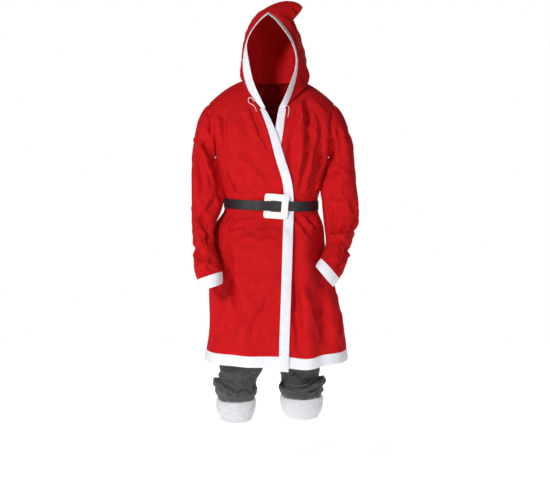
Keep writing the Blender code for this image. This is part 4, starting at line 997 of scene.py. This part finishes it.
# The neck ties' routes, from the seam of each band to the free end.
TIE_ROUTES = {
    "right": [
        (-0.078, -0.1085, -0.062), (-0.089, -0.1065, -0.047), (-0.101, -0.104, -0.050),
        (-0.098, -0.106, -0.066), (-0.085, -0.1098, -0.073), (-0.075, -0.1150, -0.083),
        (-0.070, -0.1222, -0.100)],
    "left": [
        (0.0475, -0.1115, -0.076), (0.052, -0.1125, -0.082), (0.0535, -0.1142, -0.092),
        (0.051, -0.1190, -0.106), (0.049, -0.1240, -0.118)],
}
TIE_THICKNESS = 0.003
TIE_POINTS = 41


class SUIT_OT_neck_ties(bpy.types.Operator):
    """Make the two free ends of the neck's drawstring"""
    bl_idname = "suit.neck_ties"
    bl_label = "Neck ties"

    def execute(self, context):
        for side, route in TIE_ROUTES.items():
            line = curve_through(route, TIE_POINTS)
            curve = bpy.data.curves.new("tie_cord_" + side, "CURVE")
            curve.dimensions = "3D"
            curve.bevel_depth = TIE_THICKNESS / 2
            curve.bevel_resolution = 4
            curve.use_fill_caps = True
            spline = curve.splines.new("POLY")
            spline.points.add(len(line) - 1)
            for point, place in zip(spline.points, line):
                point.co = (*place, 1)
            piece = bpy.data.objects.new("tie_cord_" + side, curve)
            context.scene.collection.objects.link(piece)
            dress(piece, "cord")
            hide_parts("tie_" + side)
        return {"FINISHED"}


def aim_at(name, data, place, target):
    """Stand a light or camera at a place, turned to a target."""
    holder = bpy.data.objects.new(name, data)
    bpy.context.scene.collection.objects.link(holder)
    holder.location = place
    aim = Vector(target) - Vector(place)
    holder.rotation_euler = aim.to_track_quat("-Z", "Y").to_euler()
    return holder


class SUIT_OT_stage(bpy.types.Operator):
    """Set the pale floor, the soft studio light and the camera"""
    bl_idname = "suit.stage"
    bl_label = "Stage"

    def execute(self, context):
        bpy.ops.object.select_all(action="DESELECT")
        paper, _, shader, _ = start_finish("white studio floor", linear("#F7F7F7"), 0.9)
        shader.inputs["Emission Color"].default_value = (1, 1, 1, 1)
        shader.inputs["Emission Strength"].default_value = FLOOR_GLOW
        bpy.ops.mesh.primitive_plane_add(size=FLOOR_SIZE, location=(0, 0, FLOOR_Z))
        floor = context.active_object
        floor.name = "studio_floor"
        floor.data.materials.append(paper)
        world = context.scene.world or bpy.data.worlds.new("Studio")
        context.scene.world = world
        world.use_nodes = True
        room = world.node_tree.nodes["Background"]
        room.inputs["Color"].default_value = (1, 1, 1, 1)
        rays = world.node_tree.nodes.new("ShaderNodeLightPath")
        glow = world.node_tree.nodes.new("ShaderNodeMapRange")
        glow.inputs["To Min"].default_value = SKY_STRENGTH
        glow.inputs["To Max"].default_value = ROOM_WHITE
        world.node_tree.links.new(rays.outputs["Is Camera Ray"], glow.inputs["Value"])
        world.node_tree.links.new(glow.outputs["Result"], room.inputs["Strength"])
        for name, place, power, size in (
            ("key light", (-2.5, -3.5, 1.2), 128, 0.8),
            ("fill light", (1.9, -4.1, -0.2), 26, 1.6),
            ("back light", (0.9, 4.4, 1.2), 70, 2.4),
        ):
            lamp = bpy.data.lights.new(name, "AREA")
            lamp.energy, lamp.size = power, size
            aim_at(name, lamp, place, LIGHTS_AIM)
        camera = bpy.data.cameras.new("camera")
        camera.lens = CAMERA_LENS
        context.scene.camera = aim_at("camera", camera, CAMERA_PLACE, CAMERA_TARGET)
        context.scene.view_settings.view_transform = "Standard"
        return {"FINISHED"}


STEPS = (
    SUIT_OT_stage, SUIT_OT_neck_ties, SUIT_OT_coat, SUIT_OT_sleeves, SUIT_OT_hood, SUIT_OT_bands,
    SUIT_OT_belt, SUIT_OT_buckle, SUIT_OT_trousers, SUIT_OT_plush_cuffs,
)


class SUIT_PT_panel(bpy.types.Panel):
    """Sizes, colours and the steps that make the suit"""
    bl_idname = "SUIT_PT_panel"
    bl_label = "Suit"
    bl_space_type = "VIEW_3D"
    bl_region_type = "UI"
    bl_category = "Suit"

    def draw(self, context):
        for group in (context.scene.suit_sizes, context.scene.suit_colours):
            for name in group.__annotations__:
                self.layout.prop(group, name)
        for step in STEPS:
            self.layout.operator(step.bl_idname)


CLASSES = (SuitSizes, SuitColours, *STEPS, SUIT_PT_panel)


def register():
    """Register the classes and give the scene its sizes and colours."""
    for kind in CLASSES:
        bpy.utils.register_class(kind)
    bpy.types.Scene.suit_sizes = bpy.props.PointerProperty(type=SuitSizes)
    bpy.types.Scene.suit_colours = bpy.props.PointerProperty(type=SuitColours)


def unregister():
    """Take the classes and the scene's sizes and colours away again."""
    del bpy.types.Scene.suit_colours
    del bpy.types.Scene.suit_sizes
    for kind in reversed(CLASSES):
        bpy.utils.unregister_class(kind)


def main():
    """Register the classes, then make every piece."""
    register()
    for step in STEPS:
        group, name = step.bl_idname.split(".")
        getattr(getattr(bpy.ops, group), name)()


if __name__ == "__main__":
    main()
